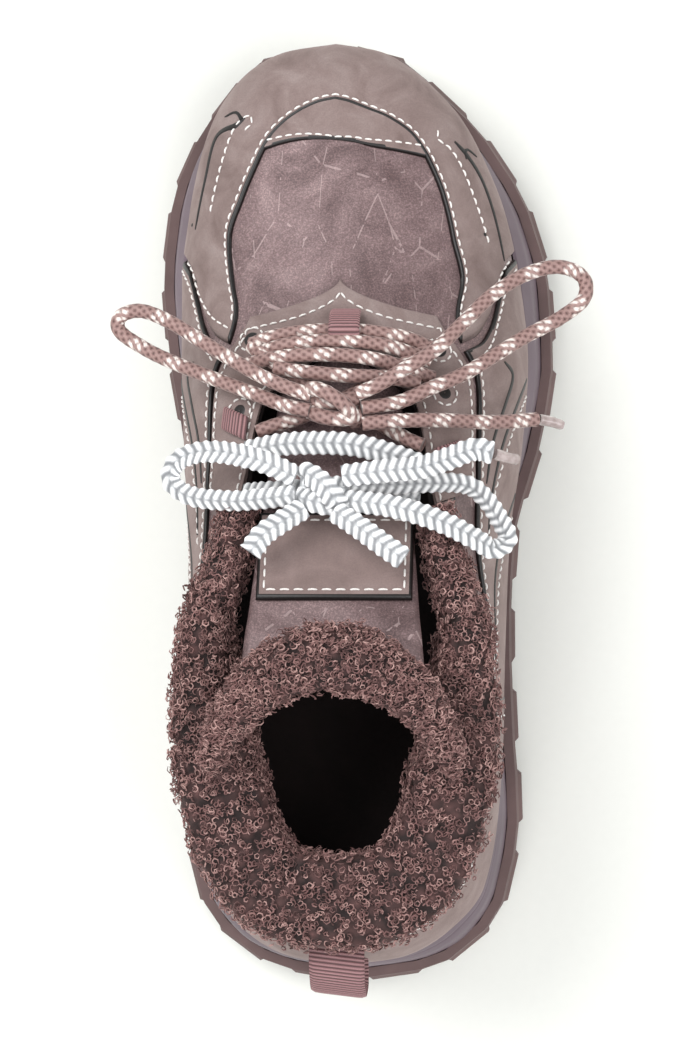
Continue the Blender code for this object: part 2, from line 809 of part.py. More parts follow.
def tongue_grid(steps, columns, depth):
    grid = []
    for i in range(steps + 1):
        row = []
        for j in range(columns + 1):
            across = 2 * j / columns - 1
            first = tongue_end(across)
            row.append(tongue_point(first + (TONGUE_FRONT - first) * i / steps, across, depth))
        grid.append(row)
    return grid


def build_tongue(surface):
    outer = tongue_grid(14, 10, 0.0)
    inner = tongue_grid(14, 10, TONGUE_THICKNESS)
    return add_object("tongue", sheet_solid(outer, inner), surface)


def build_label(surface):
    """The stitched patch near the tongue's end."""
    outer = []
    inner = []
    for i in range(5):
        along = LABEL_BACK + (LABEL_FRONT - LABEL_BACK) * i / 4
        half = LABEL_HALF_WIDTH / (TONGUE["half"](along) * HALF_WIDTH)
        outer.append([tongue_point(along, half * (j / 4 - 1), -OVERLAY_GAP - LABEL_THICKNESS) for j in range(9)])
        inner.append([tongue_point(along, half * (j / 4 - 1), -OVERLAY_GAP) for j in range(9)])
    return add_object("tongue_label", sheet_solid(outer, inner), surface)


def closed_tube(sections, locks=0.0, locked=None):
    """A closed solid through sections of points, its chosen faces drawn out into locks of fleece."""
    made = bmesh.new()
    points = [[made.verts.new(p) for p in section] for section in sections]
    count = len(sections[0])
    tufts = []
    for a, b in zip(points, points[1:]):
        for i in range(count):
            j = (i + 1) % count
            face = made.faces.new((a[i], b[i], b[j], a[j]))
            if locked is None or i in locked:
                tufts.append(face)
    made.faces.new(list(reversed(points[0])))
    made.faces.new(points[-1])
    bmesh.ops.recalc_face_normals(made, faces=made.faces)
    if locks:
        bmesh.ops.poke(made, faces=tufts, offset=locks)
    return made


# Collar fleece: how far it reaches inwards as a share of its depth, and down to which share of the wall
FLEECE_START = 0.605
FLEECE_ROWS = (
    (0.605, 0.22, 0.985),
    (0.660, 0.28, 0.97),
    (0.720, 0.40, 0.90),
    (0.780, 0.72, 0.70),
    (0.860, 1.00, 0.52),
    (1.000, 1.15, 0.47),
)
FLEECE = {name: smooth(FLEECE_ROWS, i) for i, name in enumerate(("s", "reach", "low"))}

# Its section over the collar's edge: shares of the overhang or, where negative, of the reach, and of the height
FLEECE_TOP = ((0.70, 0.06), (1.00, 0.40), (0.50, 0.85), (-0.25, 1.00), (-0.68, 0.82), (-0.95, 0.30))
FLEECE_MIDDLE = 0.85
FLEECE_THIN = 0.25
FLEECE_THICK = 0.42


def fleece_section(u):
    """The fleece's outline at a station: up the lining, over the collar's edge and down inside."""
    s = abs(u)
    crown = wall_point(u, 1.0)
    ahead = wall_point(min(1, u + SMALL_STEP), 1.0) - wall_point(max(-1, u - SMALL_STEP), 1.0)
    outward = Vector((-ahead.y, ahead.x, 0)).normalized()
    if s > 1 - SMALL_STEP:
        outward = Vector((0, -1, 0))
    reach = FLEECE["reach"](s) * FLEECE_DEPTH
    low = FLEECE["low"](s)
    middle = (1 + low) / 2
    lining = UPPER_WALL + OVERLAY_GAP
    thick = lining + reach * max(FLEECE_THIN, FLEECE_THICK * min(1.0, 4 * (1 - low)))

    def over(out, high):
        return crown + outward * out + Vector((0, 0, high))

    section = [
        skin_point(u, low, -lining),
        skin_point(u, middle, -lining),
        skin_point(u, 1.0, -lining),
        over(-lining, 2 * GAP),
    ]
    for out, high in FLEECE_TOP:
        section.append(over(out * (FLEECE_OVERHANG if out > 0 else reach), high * FLEECE_HEIGHT))
    section.append(skin_point(u, middle, -lining - FLEECE_MIDDLE * reach))
    section.append(skin_point(u, low, -thick))
    return section


def build_collar_fleece(surface):
    side = stations_between(FLEECE_START, 1.0)
    stations = side + [-s for s in reversed(side[:-1])]
    sections = [fleece_section(u) for u in stations]
    made = closed_tube(sections, LOCK_HEIGHT, {4, 5, 6, 7, 8, 9, 10})
    return add_object("collar_fleece", made, surface, 80)


def build_tongue_fleece(surface):
    """The roll of fleece folded over the tongue's end."""
    sections = []
    steps = 16
    for i in range(steps + 1):
        across = ROLL_REACH * (2 * i / steps - 1)
        plump = 0.5 + 0.5 * math.sqrt(max(0.0, 1 - (across / ROLL_REACH) ** 8))
        along = tongue_end(across)
        seat = tongue_point(along, across)
        up = tongue_point(along, across, -1.0) - seat
        ahead = Vector((0, up.z, -up.y)).normalized()
        middle = seat + up * (ROLL_HALF_HEIGHT * plump + 2 * GAP)
        section = []
        for k in range(8):
            turn = 2 * math.pi * k / 8
            forth = ahead * ROLL_HALF_WIDTH * plump * math.cos(turn)
            section.append(middle + forth + up * ROLL_HALF_HEIGHT * plump * math.sin(turn))
        sections.append(section)
    made = closed_tube(sections, LOCK_HEIGHT, {7, 0, 1, 2, 3, 4})
    return add_object("tongue_fleece", made, surface, 80)


def smooth_path(route, spacing):
    """Points about this far apart on a smooth curve through a route's own points."""
    points = [Vector(p) for p in route]
    points = [points[0] * 2 - points[1]] + points + [points[-1] * 2 - points[-2]]
    dense = []
    for a, b, c, d in zip(points, points[1:], points[2:], points[3:]):
        for k in range(24):
            t = k / 24
            dense.append(
                0.5 * (b * 2 + (c - a) * t + (a * 2 - b * 5 + c * 4 - d) * t * t
                       + (b * 3 - a - c * 3 + d) * t * t * t)
            )
    dense.append(points[-2])
    far = [0.0]
    for a, b in zip(dense, dense[1:]):
        far.append(far[-1] + (b - a).length)
    count = max(2, round(far[-1] / spacing))
    path = []
    k = 0
    for i in range(count + 1):
        goal = far[-1] * i / count
        while k < len(far) - 2 and far[k + 1] < goal:
            k += 1
        share = (goal - far[k]) / max(far[k + 1] - far[k], 1e-9)
        path.append(dense[k].lerp(dense[k + 1], min(1.0, share)))
    return path


def cord(name, route, diameter, surface):
    """A free stretch of lace as a bevelled curve with filled ends."""
    data = bpy.data.curves.new(name, "CURVE")
    data.dimensions = "3D"
    data.bevel_depth = diameter / 2
    data.bevel_resolution = 2
    data.use_fill_caps = True
    path = smooth_path(route, 2.6 * diameter)
    spline = data.splines.new("POLY")
    spline.points.add(len(path) - 1)
    for point, place in zip(spline.points, path):
        point.co = (*place, 1)
    data.materials.append(surface)
    made = bpy.data.objects.new(name, data)
    bpy.context.scene.collection.objects.link(made)
    return made


def bar(name, route, diameter, surface, sides=8):
    """A stretch of lace held by the shoe, as a solid tube."""
    path = smooth_path(route, 2.0 * diameter)
    sections = []
    for i, place in enumerate(path):
        ahead = path[min(i + 1, len(path) - 1)] - path[max(i - 1, 0)]
        across = ahead.cross(Vector((0, 0, 1))).normalized()
        up = across.cross(ahead).normalized()
        section = []
        for k in range(sides):
            turn = 2 * math.pi * (k + 0.5) / sides
            section.append(place + (across * math.cos(turn) + up * math.sin(turn)) * diameter / 2)
        sections.append(section)
    return add_object(name, closed_tube(sections), surface, 50)


def knot(name, centre, half_sizes, surface):
    made = bmesh.new()
    bmesh.ops.create_uvsphere(made, u_segments=10, v_segments=6, radius=1.0)
    for v in made.verts:
        v.co = Vector((v.co.x * half_sizes[0], v.co.y * half_sizes[1], v.co.z * half_sizes[2])) + Vector(centre)
    return add_object(name, made, surface, 80)


# Lace routes, chosen by hand: the round lace in front, the flat lace behind it
ROUND_ROW = (
    (-0.026, 0.156, 0.0955), (-0.018, 0.1585, 0.0985), (-0.006, 0.1600, 0.1000),
    (0.008, 0.1600, 0.1000), (0.021, 0.1580, 0.0985), (0.029, 0.155, 0.0965),
)
ROUND_CROSS_LEFT = (
    (-0.026, 0.1555, 0.0960), (-0.018, 0.1500, 0.1020), (-0.008, 0.1440, 0.1045),
    (0.001, 0.1385, 0.1055), (0.012, 0.1325, 0.1062), (0.022, 0.1270, 0.1066), (0.0272, 0.1248, 0.1078),
)
ROUND_CROSS_RIGHT = (
    (0.029, 0.1548, 0.0970), (0.020, 0.1490, 0.1025), (0.010, 0.1430, 0.1045),
    (0.001, 0.1380, 0.1055), (-0.010, 0.1335, 0.1060), (-0.018, 0.1310, 0.1060), (-0.0235, 0.1290, 0.1060),
)
ROUND_KNOT = (0.0010, 0.1375, 0.1130)
ROUND_KNOT_HALF = (0.0072, 0.0066, 0.0050)
ROUND_LOOP_LEFT = (
    (-0.0063, 0.1400, 0.1130), (-0.014, 0.1425, 0.1120), (-0.022, 0.1460, 0.1095), (-0.031, 0.1510, 0.1050),
    (-0.041, 0.1570, 0.1000), (-0.051, 0.1630, 0.0955), (-0.060, 0.1665, 0.0925), (-0.0665, 0.1650, 0.0905),
    (-0.067, 0.1605, 0.0900), (-0.060, 0.1555, 0.0915), (-0.051, 0.1510, 0.0945), (-0.036, 0.1450, 0.1010),
    (-0.022, 0.1398, 0.1075), (-0.014, 0.1368, 0.1110), (-0.0066, 0.1353, 0.1130),
)
ROUND_LOOP_RIGHT = (
    (0.0075, 0.1404, 0.1138), (0.014, 0.1432, 0.1140), (0.021, 0.1475, 0.1125), (0.031, 0.1540, 0.1080),
    (0.039, 0.1620, 0.1020), (0.048, 0.1710, 0.0955), (0.058, 0.1775, 0.0900), (0.068, 0.1800, 0.0870),
    (0.0755, 0.1770, 0.0855), (0.076, 0.1705, 0.0855), (0.069, 0.1645, 0.0870), (0.059, 0.1590, 0.0905),
    (0.051, 0.1540, 0.0945), (0.040, 0.1470, 0.1010), (0.030, 0.1425, 0.1060), (0.020, 0.1380, 0.1100),
    (0.0086, 0.1361, 0.1126),
)
ROUND_END_RIGHT = (
    (0.0090, 0.1314, 0.1135), (0.019, 0.1322, 0.1130), (0.032, 0.1325, 0.1090),
    (0.048, 0.1320, 0.1000), (0.0615, 0.1330, 0.0925),
)
ROUND_AGLET_RIGHT = ((0.0622, 0.1330, 0.0921), (0.0660, 0.1323, 0.0902), (0.0695, 0.1312, 0.0887))
FLAT_ROW = (
    (-0.0265, 0.1230, 0.1092), (-0.016, 0.1250, 0.1130), (-0.006, 0.1255, 0.1150), (0.006, 0.1250, 0.1150),
    (0.018, 0.1220, 0.1135), (0.0290, 0.1180, 0.1110),
)
FLAT_TOP_BAR = (
    (-0.0270, 0.1100, 0.1090), (-0.018, 0.1105, 0.1158), (-0.003, 0.1110, 0.1187),
    (0.015, 0.1100, 0.1176), (0.0262, 0.1085, 0.1116),
)
FLAT_KNOT = (-0.0030, 0.1110, 0.1262)
FLAT_KNOT_HALF = (0.0070, 0.0065, 0.0046)
FLAT_LOOP_LEFT = (
    (-0.0104, 0.1153, 0.1268), (-0.021, 0.1200, 0.1250), (-0.032, 0.1225, 0.1205), (-0.041, 0.1225, 0.1170),
    (-0.0475, 0.1195, 0.1140), (-0.0490, 0.1140, 0.1135), (-0.0430, 0.1095, 0.1155), (-0.031, 0.1080, 0.1200),
    (-0.021, 0.1085, 0.1235), (-0.0104, 0.1096, 0.1264),
)
FLAT_LOOP_RIGHT = (
    (0.0043, 0.1080, 0.1269), (0.0170, 0.1065, 0.1285), (0.0270, 0.1040, 0.1285), (0.0360, 0.1005, 0.1270),
    (0.0435, 0.0965, 0.1240), (0.0490, 0.0935, 0.1190), (0.0530, 0.0965, 0.1140), (0.0505, 0.1025, 0.1105),
    (0.0455, 0.1095, 0.1085), (0.0400, 0.1130, 0.1110), (0.0300, 0.1135, 0.1160), (0.0180, 0.1130, 0.1205),
    (0.0062, 0.1130, 0.1248),
)
FLAT_END_RIGHT = (
    (0.0036, 0.1154, 0.1284), (0.0170, 0.1170, 0.1275), (0.0270, 0.1180, 0.1240), (0.0350, 0.1205, 0.1200),
    (0.0430, 0.1235, 0.1165), (0.0485, 0.1225, 0.1140),
)
FLAT_AGLET_RIGHT = ((0.0491, 0.1222, 0.1136), (0.0530, 0.1210, 0.1110), (0.0560, 0.1205, 0.1085))
FLAT_END_LEFT = (
    (-0.0077, 0.1058, 0.1280), (-0.0145, 0.1015, 0.1315), (-0.0200, 0.0975, 0.1330), (-0.0235, 0.0925, 0.1340),
)
FLAT_TAIL_RIGHT = (
    (0.0014, 0.1049, 0.1291), (0.0090, 0.1000, 0.1320), (0.0160, 0.0950, 0.1340), (0.0225, 0.0905, 0.1350),
)


def build_laces(round_surface, flat_surface, aglet_surface):
    row = bar("round_lace_bars", ROUND_ROW, ROUND_LACE, round_surface)
    join(row, bar("round_cross_left", ROUND_CROSS_LEFT, ROUND_LACE, round_surface), "UNION")
    join(row, bar("round_cross_right", ROUND_CROSS_RIGHT, ROUND_LACE, round_surface), "UNION")
    bar("flat_lace_bar", FLAT_ROW, FLAT_LACE, flat_surface)
    bar("flat_lace_top_bar", FLAT_TOP_BAR, FLAT_LACE, flat_surface)
    knot("round_lace_knot", ROUND_KNOT, ROUND_KNOT_HALF, round_surface)
    knot("flat_lace_knot", FLAT_KNOT, FLAT_KNOT_HALF, flat_surface)
    cord("round_lace_loop_inner", ROUND_LOOP_LEFT, ROUND_LACE, round_surface)
    cord("round_lace_loop_outer", ROUND_LOOP_RIGHT, ROUND_LACE, round_surface)
    cord("round_lace_end", ROUND_END_RIGHT, ROUND_LACE, round_surface)
    cord("round_lace_aglet", ROUND_AGLET_RIGHT, AGLET, aglet_surface)
    cord("flat_lace_loop_inner", FLAT_LOOP_LEFT, FLAT_LACE, flat_surface)
    cord("flat_lace_loop_outer", FLAT_LOOP_RIGHT, FLAT_LACE, flat_surface)
    cord("flat_lace_end_outer", FLAT_END_RIGHT, FLAT_LACE, flat_surface)
    cord("flat_lace_aglet", FLAT_AGLET_RIGHT, AGLET, aglet_surface)
    cord("flat_lace_end_inner", FLAT_END_LEFT, FLAT_LACE, flat_surface)
    cord("flat_lace_end_middle", FLAT_TAIL_RIGHT, FLAT_LACE, flat_surface)


def tape(name, route, width, across, surface):
    """A strip of woven tape along a route, its face across this direction."""
    path = smooth_path(route, TAPE_STEP)
    outer = []
    inner = []
    side = Vector(across).normalized() * width / 2
    for i, place in enumerate(path):
        ahead = path[min(i + 1, len(path) - 1)] - path[max(i - 1, 0)]
        normal = side.cross(ahead).normalized() * TAPE_THICKNESS / 2
        outer.append([place - side + normal, place + side + normal])
        inner.append([place - side - normal, place + side - normal])
    return add_object(name, sheet_solid(outer, inner), surface)


# The front lace loop stands over the ridge; the side loops lie on the lace rows, each from its own station
FRONT_LOOP = (
    (0.003, 0.1662, 0.0942), (0.003, 0.1642, 0.1000), (0.003, 0.1600, 0.1048),
    (0.003, 0.1560, 0.1008), (0.003, 0.1556, 0.0985),
)
SIDE_LOOPS = (("lace_loop_inner", -1, 0.520), ("lace_loop_outer", 1, 0.550))
SIDE_LOOP_WIDTH = 0.035
SIDE_LOOP_LOW = 0.78
SIDE_LOOP_TOP = 0.93


def build_tapes(surface):
    """The pull loop at the heel and the three lace loops of the throat."""
    top = skin_point(1.0, PULL_TOP)
    low = skin_point(1.0, PULL_LOW)
    seat = OVERLAY_GAP + OVERLAY_THICKNESS + 3 * GAP
    pull_route = (
        top + Vector((0, -2 * GAP, 0)),
        top + Vector((0, -0.6 * PULL_REACH, 0.1 * PULL_REACH)),
        top + Vector((0, -PULL_REACH, -0.2 * PULL_REACH)),
        (top + low) / 2 + Vector((0, -PULL_REACH, 0)),
        low + Vector((0, -0.65 * PULL_REACH, -0.1 * PULL_REACH)),
        low + Vector((0, -seat, 0)),
    )
    tape("heel_pull_loop", pull_route, TAPE_WIDTH, (1, PULL_TWIST, 0), surface)
    tape("lace_loop_front", FRONT_LOOP, LACE_LOOP_WIDTH, (1, 0, 0), surface)
    under = THROAT_PANEL_GAP + OVERLAY_THICKNESS + GAP
    for name, side, start in SIDE_LOOPS:
        stations = even(start, start + SIDE_LOOP_WIDTH, 2)
        if side < 0:
            stations = [-s for s in reversed(stations)]
        quads = strip_quads(stations, lambda u: SIDE_LOOP_LOW, lambda u: SIDE_LOOP_TOP, 3)
        patch(name, quads, surface, under, under + TAPE_THICKNESS)


def clear_scene():
    for old in list(bpy.data.objects):
        bpy.data.objects.remove(old, do_unlink=True)


def main():
    clear_scene()
    rubber = material("rubber outsole", (106, 84, 82), 0.75)
    foam = material("foam midsole", (103, 86, 95), 0.6)
    leather = material("brushed leather", (141, 117, 117), 0.45, 0.2)
    nubuck = material("nubuck overlay", (136, 118, 116), 0.85)
    felt = material("insole felt", (90, 66, 66), 0.95)
    fleece = material("curly fleece", (138, 102, 100), 0.95)
    round_lace = material("round lace", (125, 93, 89), 0.8)
    flat_lace = material("flat lace", (215, 215, 215), 0.7)
    clear = material("aglet film", (154, 140, 138), 0.3)
    webbing = material("ribbed tape", (140, 98, 100), 0.8)
    build_outsole(rubber)
    build_midsole(foam)
    build_insole(felt)
    build_upper(leather)
    build_tongue(leather)
    build_label(nubuck)
    build_toe_guard(nubuck)
    build_toe_cap(nubuck)
    build_throat_panel(nubuck)
    build_quarter("quarter_inner", -1, nubuck)
    build_quarter("quarter_outer", 1, nubuck)
    build_heel_counter(nubuck)
    build_collar_fleece(fleece)
    build_tongue_fleece(fleece)
    build_tapes(webbing)
    build_laces(round_lace, flat_lace, clear)


main()
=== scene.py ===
"""Looks of the platform sneaker: nubuck over brushed leather, a curly fleece collar and two laces.

Metres, +Z up, the toe towards +Y and the outer side of the right foot towards +X.
"""

import math

import bmesh
import bpy
import numpy as np
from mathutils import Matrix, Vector, noise


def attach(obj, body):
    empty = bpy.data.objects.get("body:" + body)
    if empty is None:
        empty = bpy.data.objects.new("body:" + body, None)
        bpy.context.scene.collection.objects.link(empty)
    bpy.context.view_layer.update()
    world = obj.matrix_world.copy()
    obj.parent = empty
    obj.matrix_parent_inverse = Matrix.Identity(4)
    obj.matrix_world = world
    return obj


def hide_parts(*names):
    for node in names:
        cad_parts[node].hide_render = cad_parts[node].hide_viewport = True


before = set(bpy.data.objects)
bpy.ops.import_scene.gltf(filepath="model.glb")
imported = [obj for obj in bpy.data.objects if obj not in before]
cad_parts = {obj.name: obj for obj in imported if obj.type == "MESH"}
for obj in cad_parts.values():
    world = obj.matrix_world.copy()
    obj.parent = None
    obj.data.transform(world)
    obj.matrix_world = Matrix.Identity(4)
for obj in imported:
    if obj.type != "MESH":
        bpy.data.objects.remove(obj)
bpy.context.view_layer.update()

MM = 0.001

# Sizes of the sole and the upper, as in the part
SOLE_LENGTH = 0.298
SOLE_WIDTH = 0.127
HALF_WIDTH = SOLE_WIDTH / 2
HEEL_OVERHANG = 0.045
PLATFORM_HEIGHT = 0.042
HEEL_HEIGHT = 0.051
TOE_SPRING = 0.013
ARCH_RISE = 0.0045
TREAD_DEPTH = 0.0035
OUTSOLE_THICKNESS = 0.0050
RIM_HEIGHT = 0.019
RIM_THICKNESS = 0.0036
MIDSOLE_STEP = 0.0008
UPPER_WALL = 0.0022
VAMP_HEIGHT = 0.050
TONGUE_THICKNESS = 0.0030
TONGUE_DROP = 0.0038
FLEECE_HEIGHT = 0.010
FLEECE_OVERHANG = 0.005
FLEECE_DEPTH = 0.020
ROLL_HALF_WIDTH = 0.0100
ROLL_HALF_HEIGHT = 0.0056
ROLL_REACH = 1.25
TAPE_WIDTH = 0.017
TAPE_THICKNESS = 0.0014
LABEL_HALF_WIDTH = 0.0235
LABEL_BACK = 0.412
LABEL_FRONT = 0.500
THROAT_START = 0.42
CROWN_FALL = 0.5
TOE_LIFT = 0.35
SMALL_STEP = 0.004
GAP = 0.0003

# Overlays: how high the base of each lies over the wall, and how thick it is
OVERLAY_GAP = 0.0002
OVERLAY = 0.0012
EDGE_STEPS = (0.0, 0.0004, 0.0008, 0.0012)

SOLE_COLUMNS = ("s", "along", "left", "right")
SOLE_ROWS = (
    (0.000, 1.000, -0.035, -0.035),
    (0.050, 0.992, -0.330, 0.200),
    (0.100, 0.974, -0.490, 0.350),
    (0.150, 0.950, -0.590, 0.465),
    (0.200, 0.918, -0.710, 0.630),
    (0.270, 0.870, -0.840, 0.800),
    (0.340, 0.815, -0.910, 0.930),
    (0.420, 0.745, -0.940, 1.010),
    (0.500, 0.660, -0.905, 1.030),
    (0.580, 0.570, -0.835, 0.960),
    (0.660, 0.475, -0.800, 0.840),
    (0.740, 0.375, -0.800, 0.820),
    (0.820, 0.270, -0.815, 0.835),
    (0.880, 0.180, -0.825, 0.860),
    (0.930, 0.095, -0.760, 0.800),
    (0.965, 0.040, -0.580, 0.640),
    (0.985, 0.012, -0.310, 0.390),
    (1.000, 0.000, 0.030, 0.030),
)
UPPER_COLUMNS = (
    "s", "along", "left", "right",
    "crown_along", "crown_half", "crown_height",
    "bulge", "rise", "reach", "upright",
)
UPPER_ROWS = (
    (0.000, 0.9925, -0.035, -0.035, 0.905, 0.000, 0.58, 0.02, 0.68, 0.50, 0.0),
    (0.050, 0.9845, -0.280, 0.175, 0.902, 0.000, 0.585, 0.02, 0.68, 0.50, 0.0),
    (0.100, 0.9660, -0.450, 0.330, 0.894, 0.000, 0.60, 0.02, 0.68, 0.50, 0.0),
    (0.150, 0.9430, -0.550, 0.450, 0.880, 0.000, 0.625, 0.03, 0.66, 0.50, 0.0),
    (0.200, 0.9150, -0.630, 0.565, 0.858, 0.000, 0.665, 0.03, 0.65, 0.50, 0.0),
    (0.270, 0.8700, -0.700, 0.680, 0.818, 0.000, 0.735, 0.03, 0.64, 0.50, 0.0),
    (0.340, 0.8150, -0.750, 0.780, 0.765, 0.000, 0.82, 0.03, 0.62, 0.50, 0.0),
    (0.420, 0.7450, -0.785, 0.850, 0.690, 0.000, 1.00, 0.03, 0.60, 0.48, 0.0),
    (0.500, 0.6600, -0.780, 0.890, 0.610, 0.370, 1.16, 0.03, 0.58, 0.45, 0.0),
    (0.580, 0.5700, -0.765, 0.860, 0.530, 0.440, 1.30, 0.03, 0.52, 0.42, 0.1),
    (0.660, 0.4750, -0.740, 0.800, 0.455, 0.530, 1.43, 0.03, 0.46, 0.40, 0.4),
    (0.740, 0.3750, -0.725, 0.780, 0.375, 0.660, 1.57, 0.03, 0.38, 0.36, 0.9),
    (0.820, 0.2700, -0.710, 0.765, 0.275, 0.690, 1.55, 0.03, 0.34, 0.34, 1.0),
    (0.880, 0.1850, -0.685, 0.740, 0.195, 0.640, 1.50, 0.03, 0.34, 0.34, 1.0),
    (0.930, 0.1100, -0.605, 0.670, 0.130, 0.520, 1.49, 0.04, 0.34, 0.34, 1.0),
    (0.965, 0.0650, -0.440, 0.490, 0.095, 0.350, 1.51, 0.05, 0.34, 0.34, 1.0),
    (0.985, 0.0420, -0.230, 0.280, 0.082, 0.190, 1.53, 0.06, 0.34, 0.34, 1.0),
    (1.000, 0.0340, 0.020, 0.020, 0.078, 0.000, 1.53, 0.06, 0.34, 0.34, 1.0),
)
PROFILE_COLUMNS = ("along", "tread", "arch", "heel", "rim", "centre")
PROFILE_ROWS = (
    (0.00, 0.25, 0.0, 1.0, 1.05, 0.02),
    (0.06, 0.00, 0.0, 1.0, 1.00, 0.02),
    (0.28, 0.00, 0.0, 1.0, 0.95, 0.02),
    (0.40, 0.00, 1.0, 0.7, 0.90, 0.02),
    (0.52, 0.00, 0.0, 0.3, 0.90, 0.02),
    (0.70, 0.00, 0.0, 0.0, 0.90, 0.02),
    (0.80, 0.10, 0.0, 0.0, 0.95, 0.00),
    (0.90, 0.42, 0.0, 0.0, 1.05, -0.02),
    (1.00, 1.00, 0.0, 0.0, 1.25, -0.04),
)
RIDGE_ROWS = (
    (0.30, 2.10), (0.375, 1.95), (0.455, 1.66), (0.530, 1.42), (0.610, 1.21), (0.690, 1.00),
    (0.765, 0.82), (0.818, 0.735), (0.858, 0.665), (0.880, 0.625), (0.905, 0.58),
)
GUARD_ROWS = (
    (0.00, 0.80, 0.80),
    (0.05, 0.79, 0.79),
    (0.10, 0.75, 0.74),
    (0.15, 0.69, 0.65),
    (0.20, 0.63, 0.57),
    (0.25, 0.59, 0.535),
    (0.30, 0.545, 0.52),
    (0.35, 0.50, 0.52),
    (0.40, 0.53, 0.50),
    (0.46, 0.60, 0.60),
)
TONGUE_ROWS = (
    (0.290, 0.44, 0.52, 0.40),
    (0.335, 0.44, 0.38, 0.40),
    (0.400, 0.41, 0.26, 0.60),
    (0.455, 0.385, 0.26, 0.90),
    (0.530, 0.350, 0.34, 1.00),
    (0.610, 0.310, 0.50, 1.05),
    (0.690, 0.270, 0.90, 0.80),
    (0.715, 0.240, 1.00, 0.72),
)
TONGUE_TOP = 0.350
TONGUE_DROOP = 0.055
TONGUE_FRONT = 0.712
FLEECE_START = 0.605
FLEECE_ROWS = (
    (0.605, 0.22, 0.985),
    (0.660, 0.28, 0.97),
    (0.720, 0.40, 0.90),
    (0.780, 0.72, 0.70),
    (0.860, 1.00, 0.52),
    (1.000, 1.15, 0.47),
)
FLEECE_TOP_ROWS = ((0.70, 0.06), (1.00, 0.40), (0.50, 0.85), (-0.25, 1.00), (-0.68, 0.82), (-0.95, 0.30))
FLEECE_MIDDLE = 0.85
FLEECE_THIN = 0.25
FLEECE_THICK = 0.42


def smooth(rows, column):
    """A curve through the rows' values against their first column, with no overshoot between them."""
    at = np.array([row[0] for row in rows], float)
    value = np.array([row[column] for row in rows], float)
    slope = np.diff(value) / np.diff(at)
    tangent = np.zeros_like(at)
    tangent[0], tangent[-1] = slope[0], slope[-1]
    for i in range(1, len(at) - 1):
        if slope[i - 1] * slope[i] > 0:
            tangent[i] = 2 * slope[i - 1] * slope[i] / (slope[i - 1] + slope[i])

    def curve(x):
        x = np.clip(x, at[0], at[-1])
        i = np.clip(np.searchsorted(at, x, side="right") - 1, 0, len(at) - 2)
        width = at[i + 1] - at[i]
        t = (x - at[i]) / width
        near = value[i] * (1 + 2 * t) * (1 - t) ** 2 + tangent[i] * width * t * (1 - t) ** 2
        return near + value[i + 1] * t * t * (3 - 2 * t) + tangent[i + 1] * width * t * t * (t - 1)

    return curve


SOLE = {name: smooth(SOLE_ROWS, i) for i, name in enumerate(SOLE_COLUMNS)}
UPPER = {name: smooth(UPPER_ROWS, i) for i, name in enumerate(UPPER_COLUMNS)}
PROFILE = {name: smooth(PROFILE_ROWS, i) for i, name in enumerate(PROFILE_COLUMNS)}
RIDGE = smooth(RIDGE_ROWS, 1)
GUARD = (smooth(GUARD_ROWS, 1), smooth(GUARD_ROWS, 2))
TONGUE = {name: smooth(TONGUE_ROWS, i) for i, name in enumerate(("along", "half", "arch", "drop"))}
FLEECE = {name: smooth(FLEECE_ROWS, i) for i, name in enumerate(("s", "reach", "low"))}


def unit(v):
    return v / np.maximum(np.linalg.norm(v, axis=-1, keepdims=True), 1e-12)


def stack(*parts):
    return np.stack(np.broadcast_arrays(*parts), axis=-1).astype(float)


def y_at(along):
    return along * SOLE_LENGTH - HEEL_OVERHANG


def centre_x(along):
    return PROFILE["centre"](along) * HALF_WIDTH


def ground(along):
    return PROFILE["tread"](along) * TOE_SPRING + PROFILE["arch"](along) * ARCH_RISE


def base(along):
    return ground(along) + TREAD_DEPTH


def rim_top(along):
    return base(along) + RIM_HEIGHT * PROFILE["rim"](along)


def feather_height(along):
    spring = PROFILE["tread"](along) * TOE_SPRING * np.where(along > 0.5, TOE_LIFT, 0.0)
    return PLATFORM_HEIGHT + spring + PROFILE["heel"](along) * (HEEL_HEIGHT - PLATFORM_HEIGHT)


def ridge_height(along):
    return PLATFORM_HEIGHT + VAMP_HEIGHT * RIDGE(along)


def ridge_slope(along):
    step = 0.01
    return (ridge_height(along + step) - ridge_height(along - step)) / (2 * step * SOLE_LENGTH)


def outline(curves, u):
    """Plan points of an outline: u runs from -1 (heel) over the inner side to 0 (toe) and on to 1."""
    turned = np.abs(u) > 1
    s = np.where(turned, 2 - np.abs(u), np.abs(u))
    x = np.where((u > 0) ^ turned, curves["right"](s), curves["left"](s)) * HALF_WIDTH
    return stack(x, y_at(curves["along"](s)))


def inset_plan(curves, u, inset):
    along = outline(curves, u + SMALL_STEP) - outline(curves, u - SMALL_STEP)
    inward = unit(stack(along[..., 1], -along[..., 0]))
    return outline(curves, u) + inward * np.asarray(inset)[..., None]


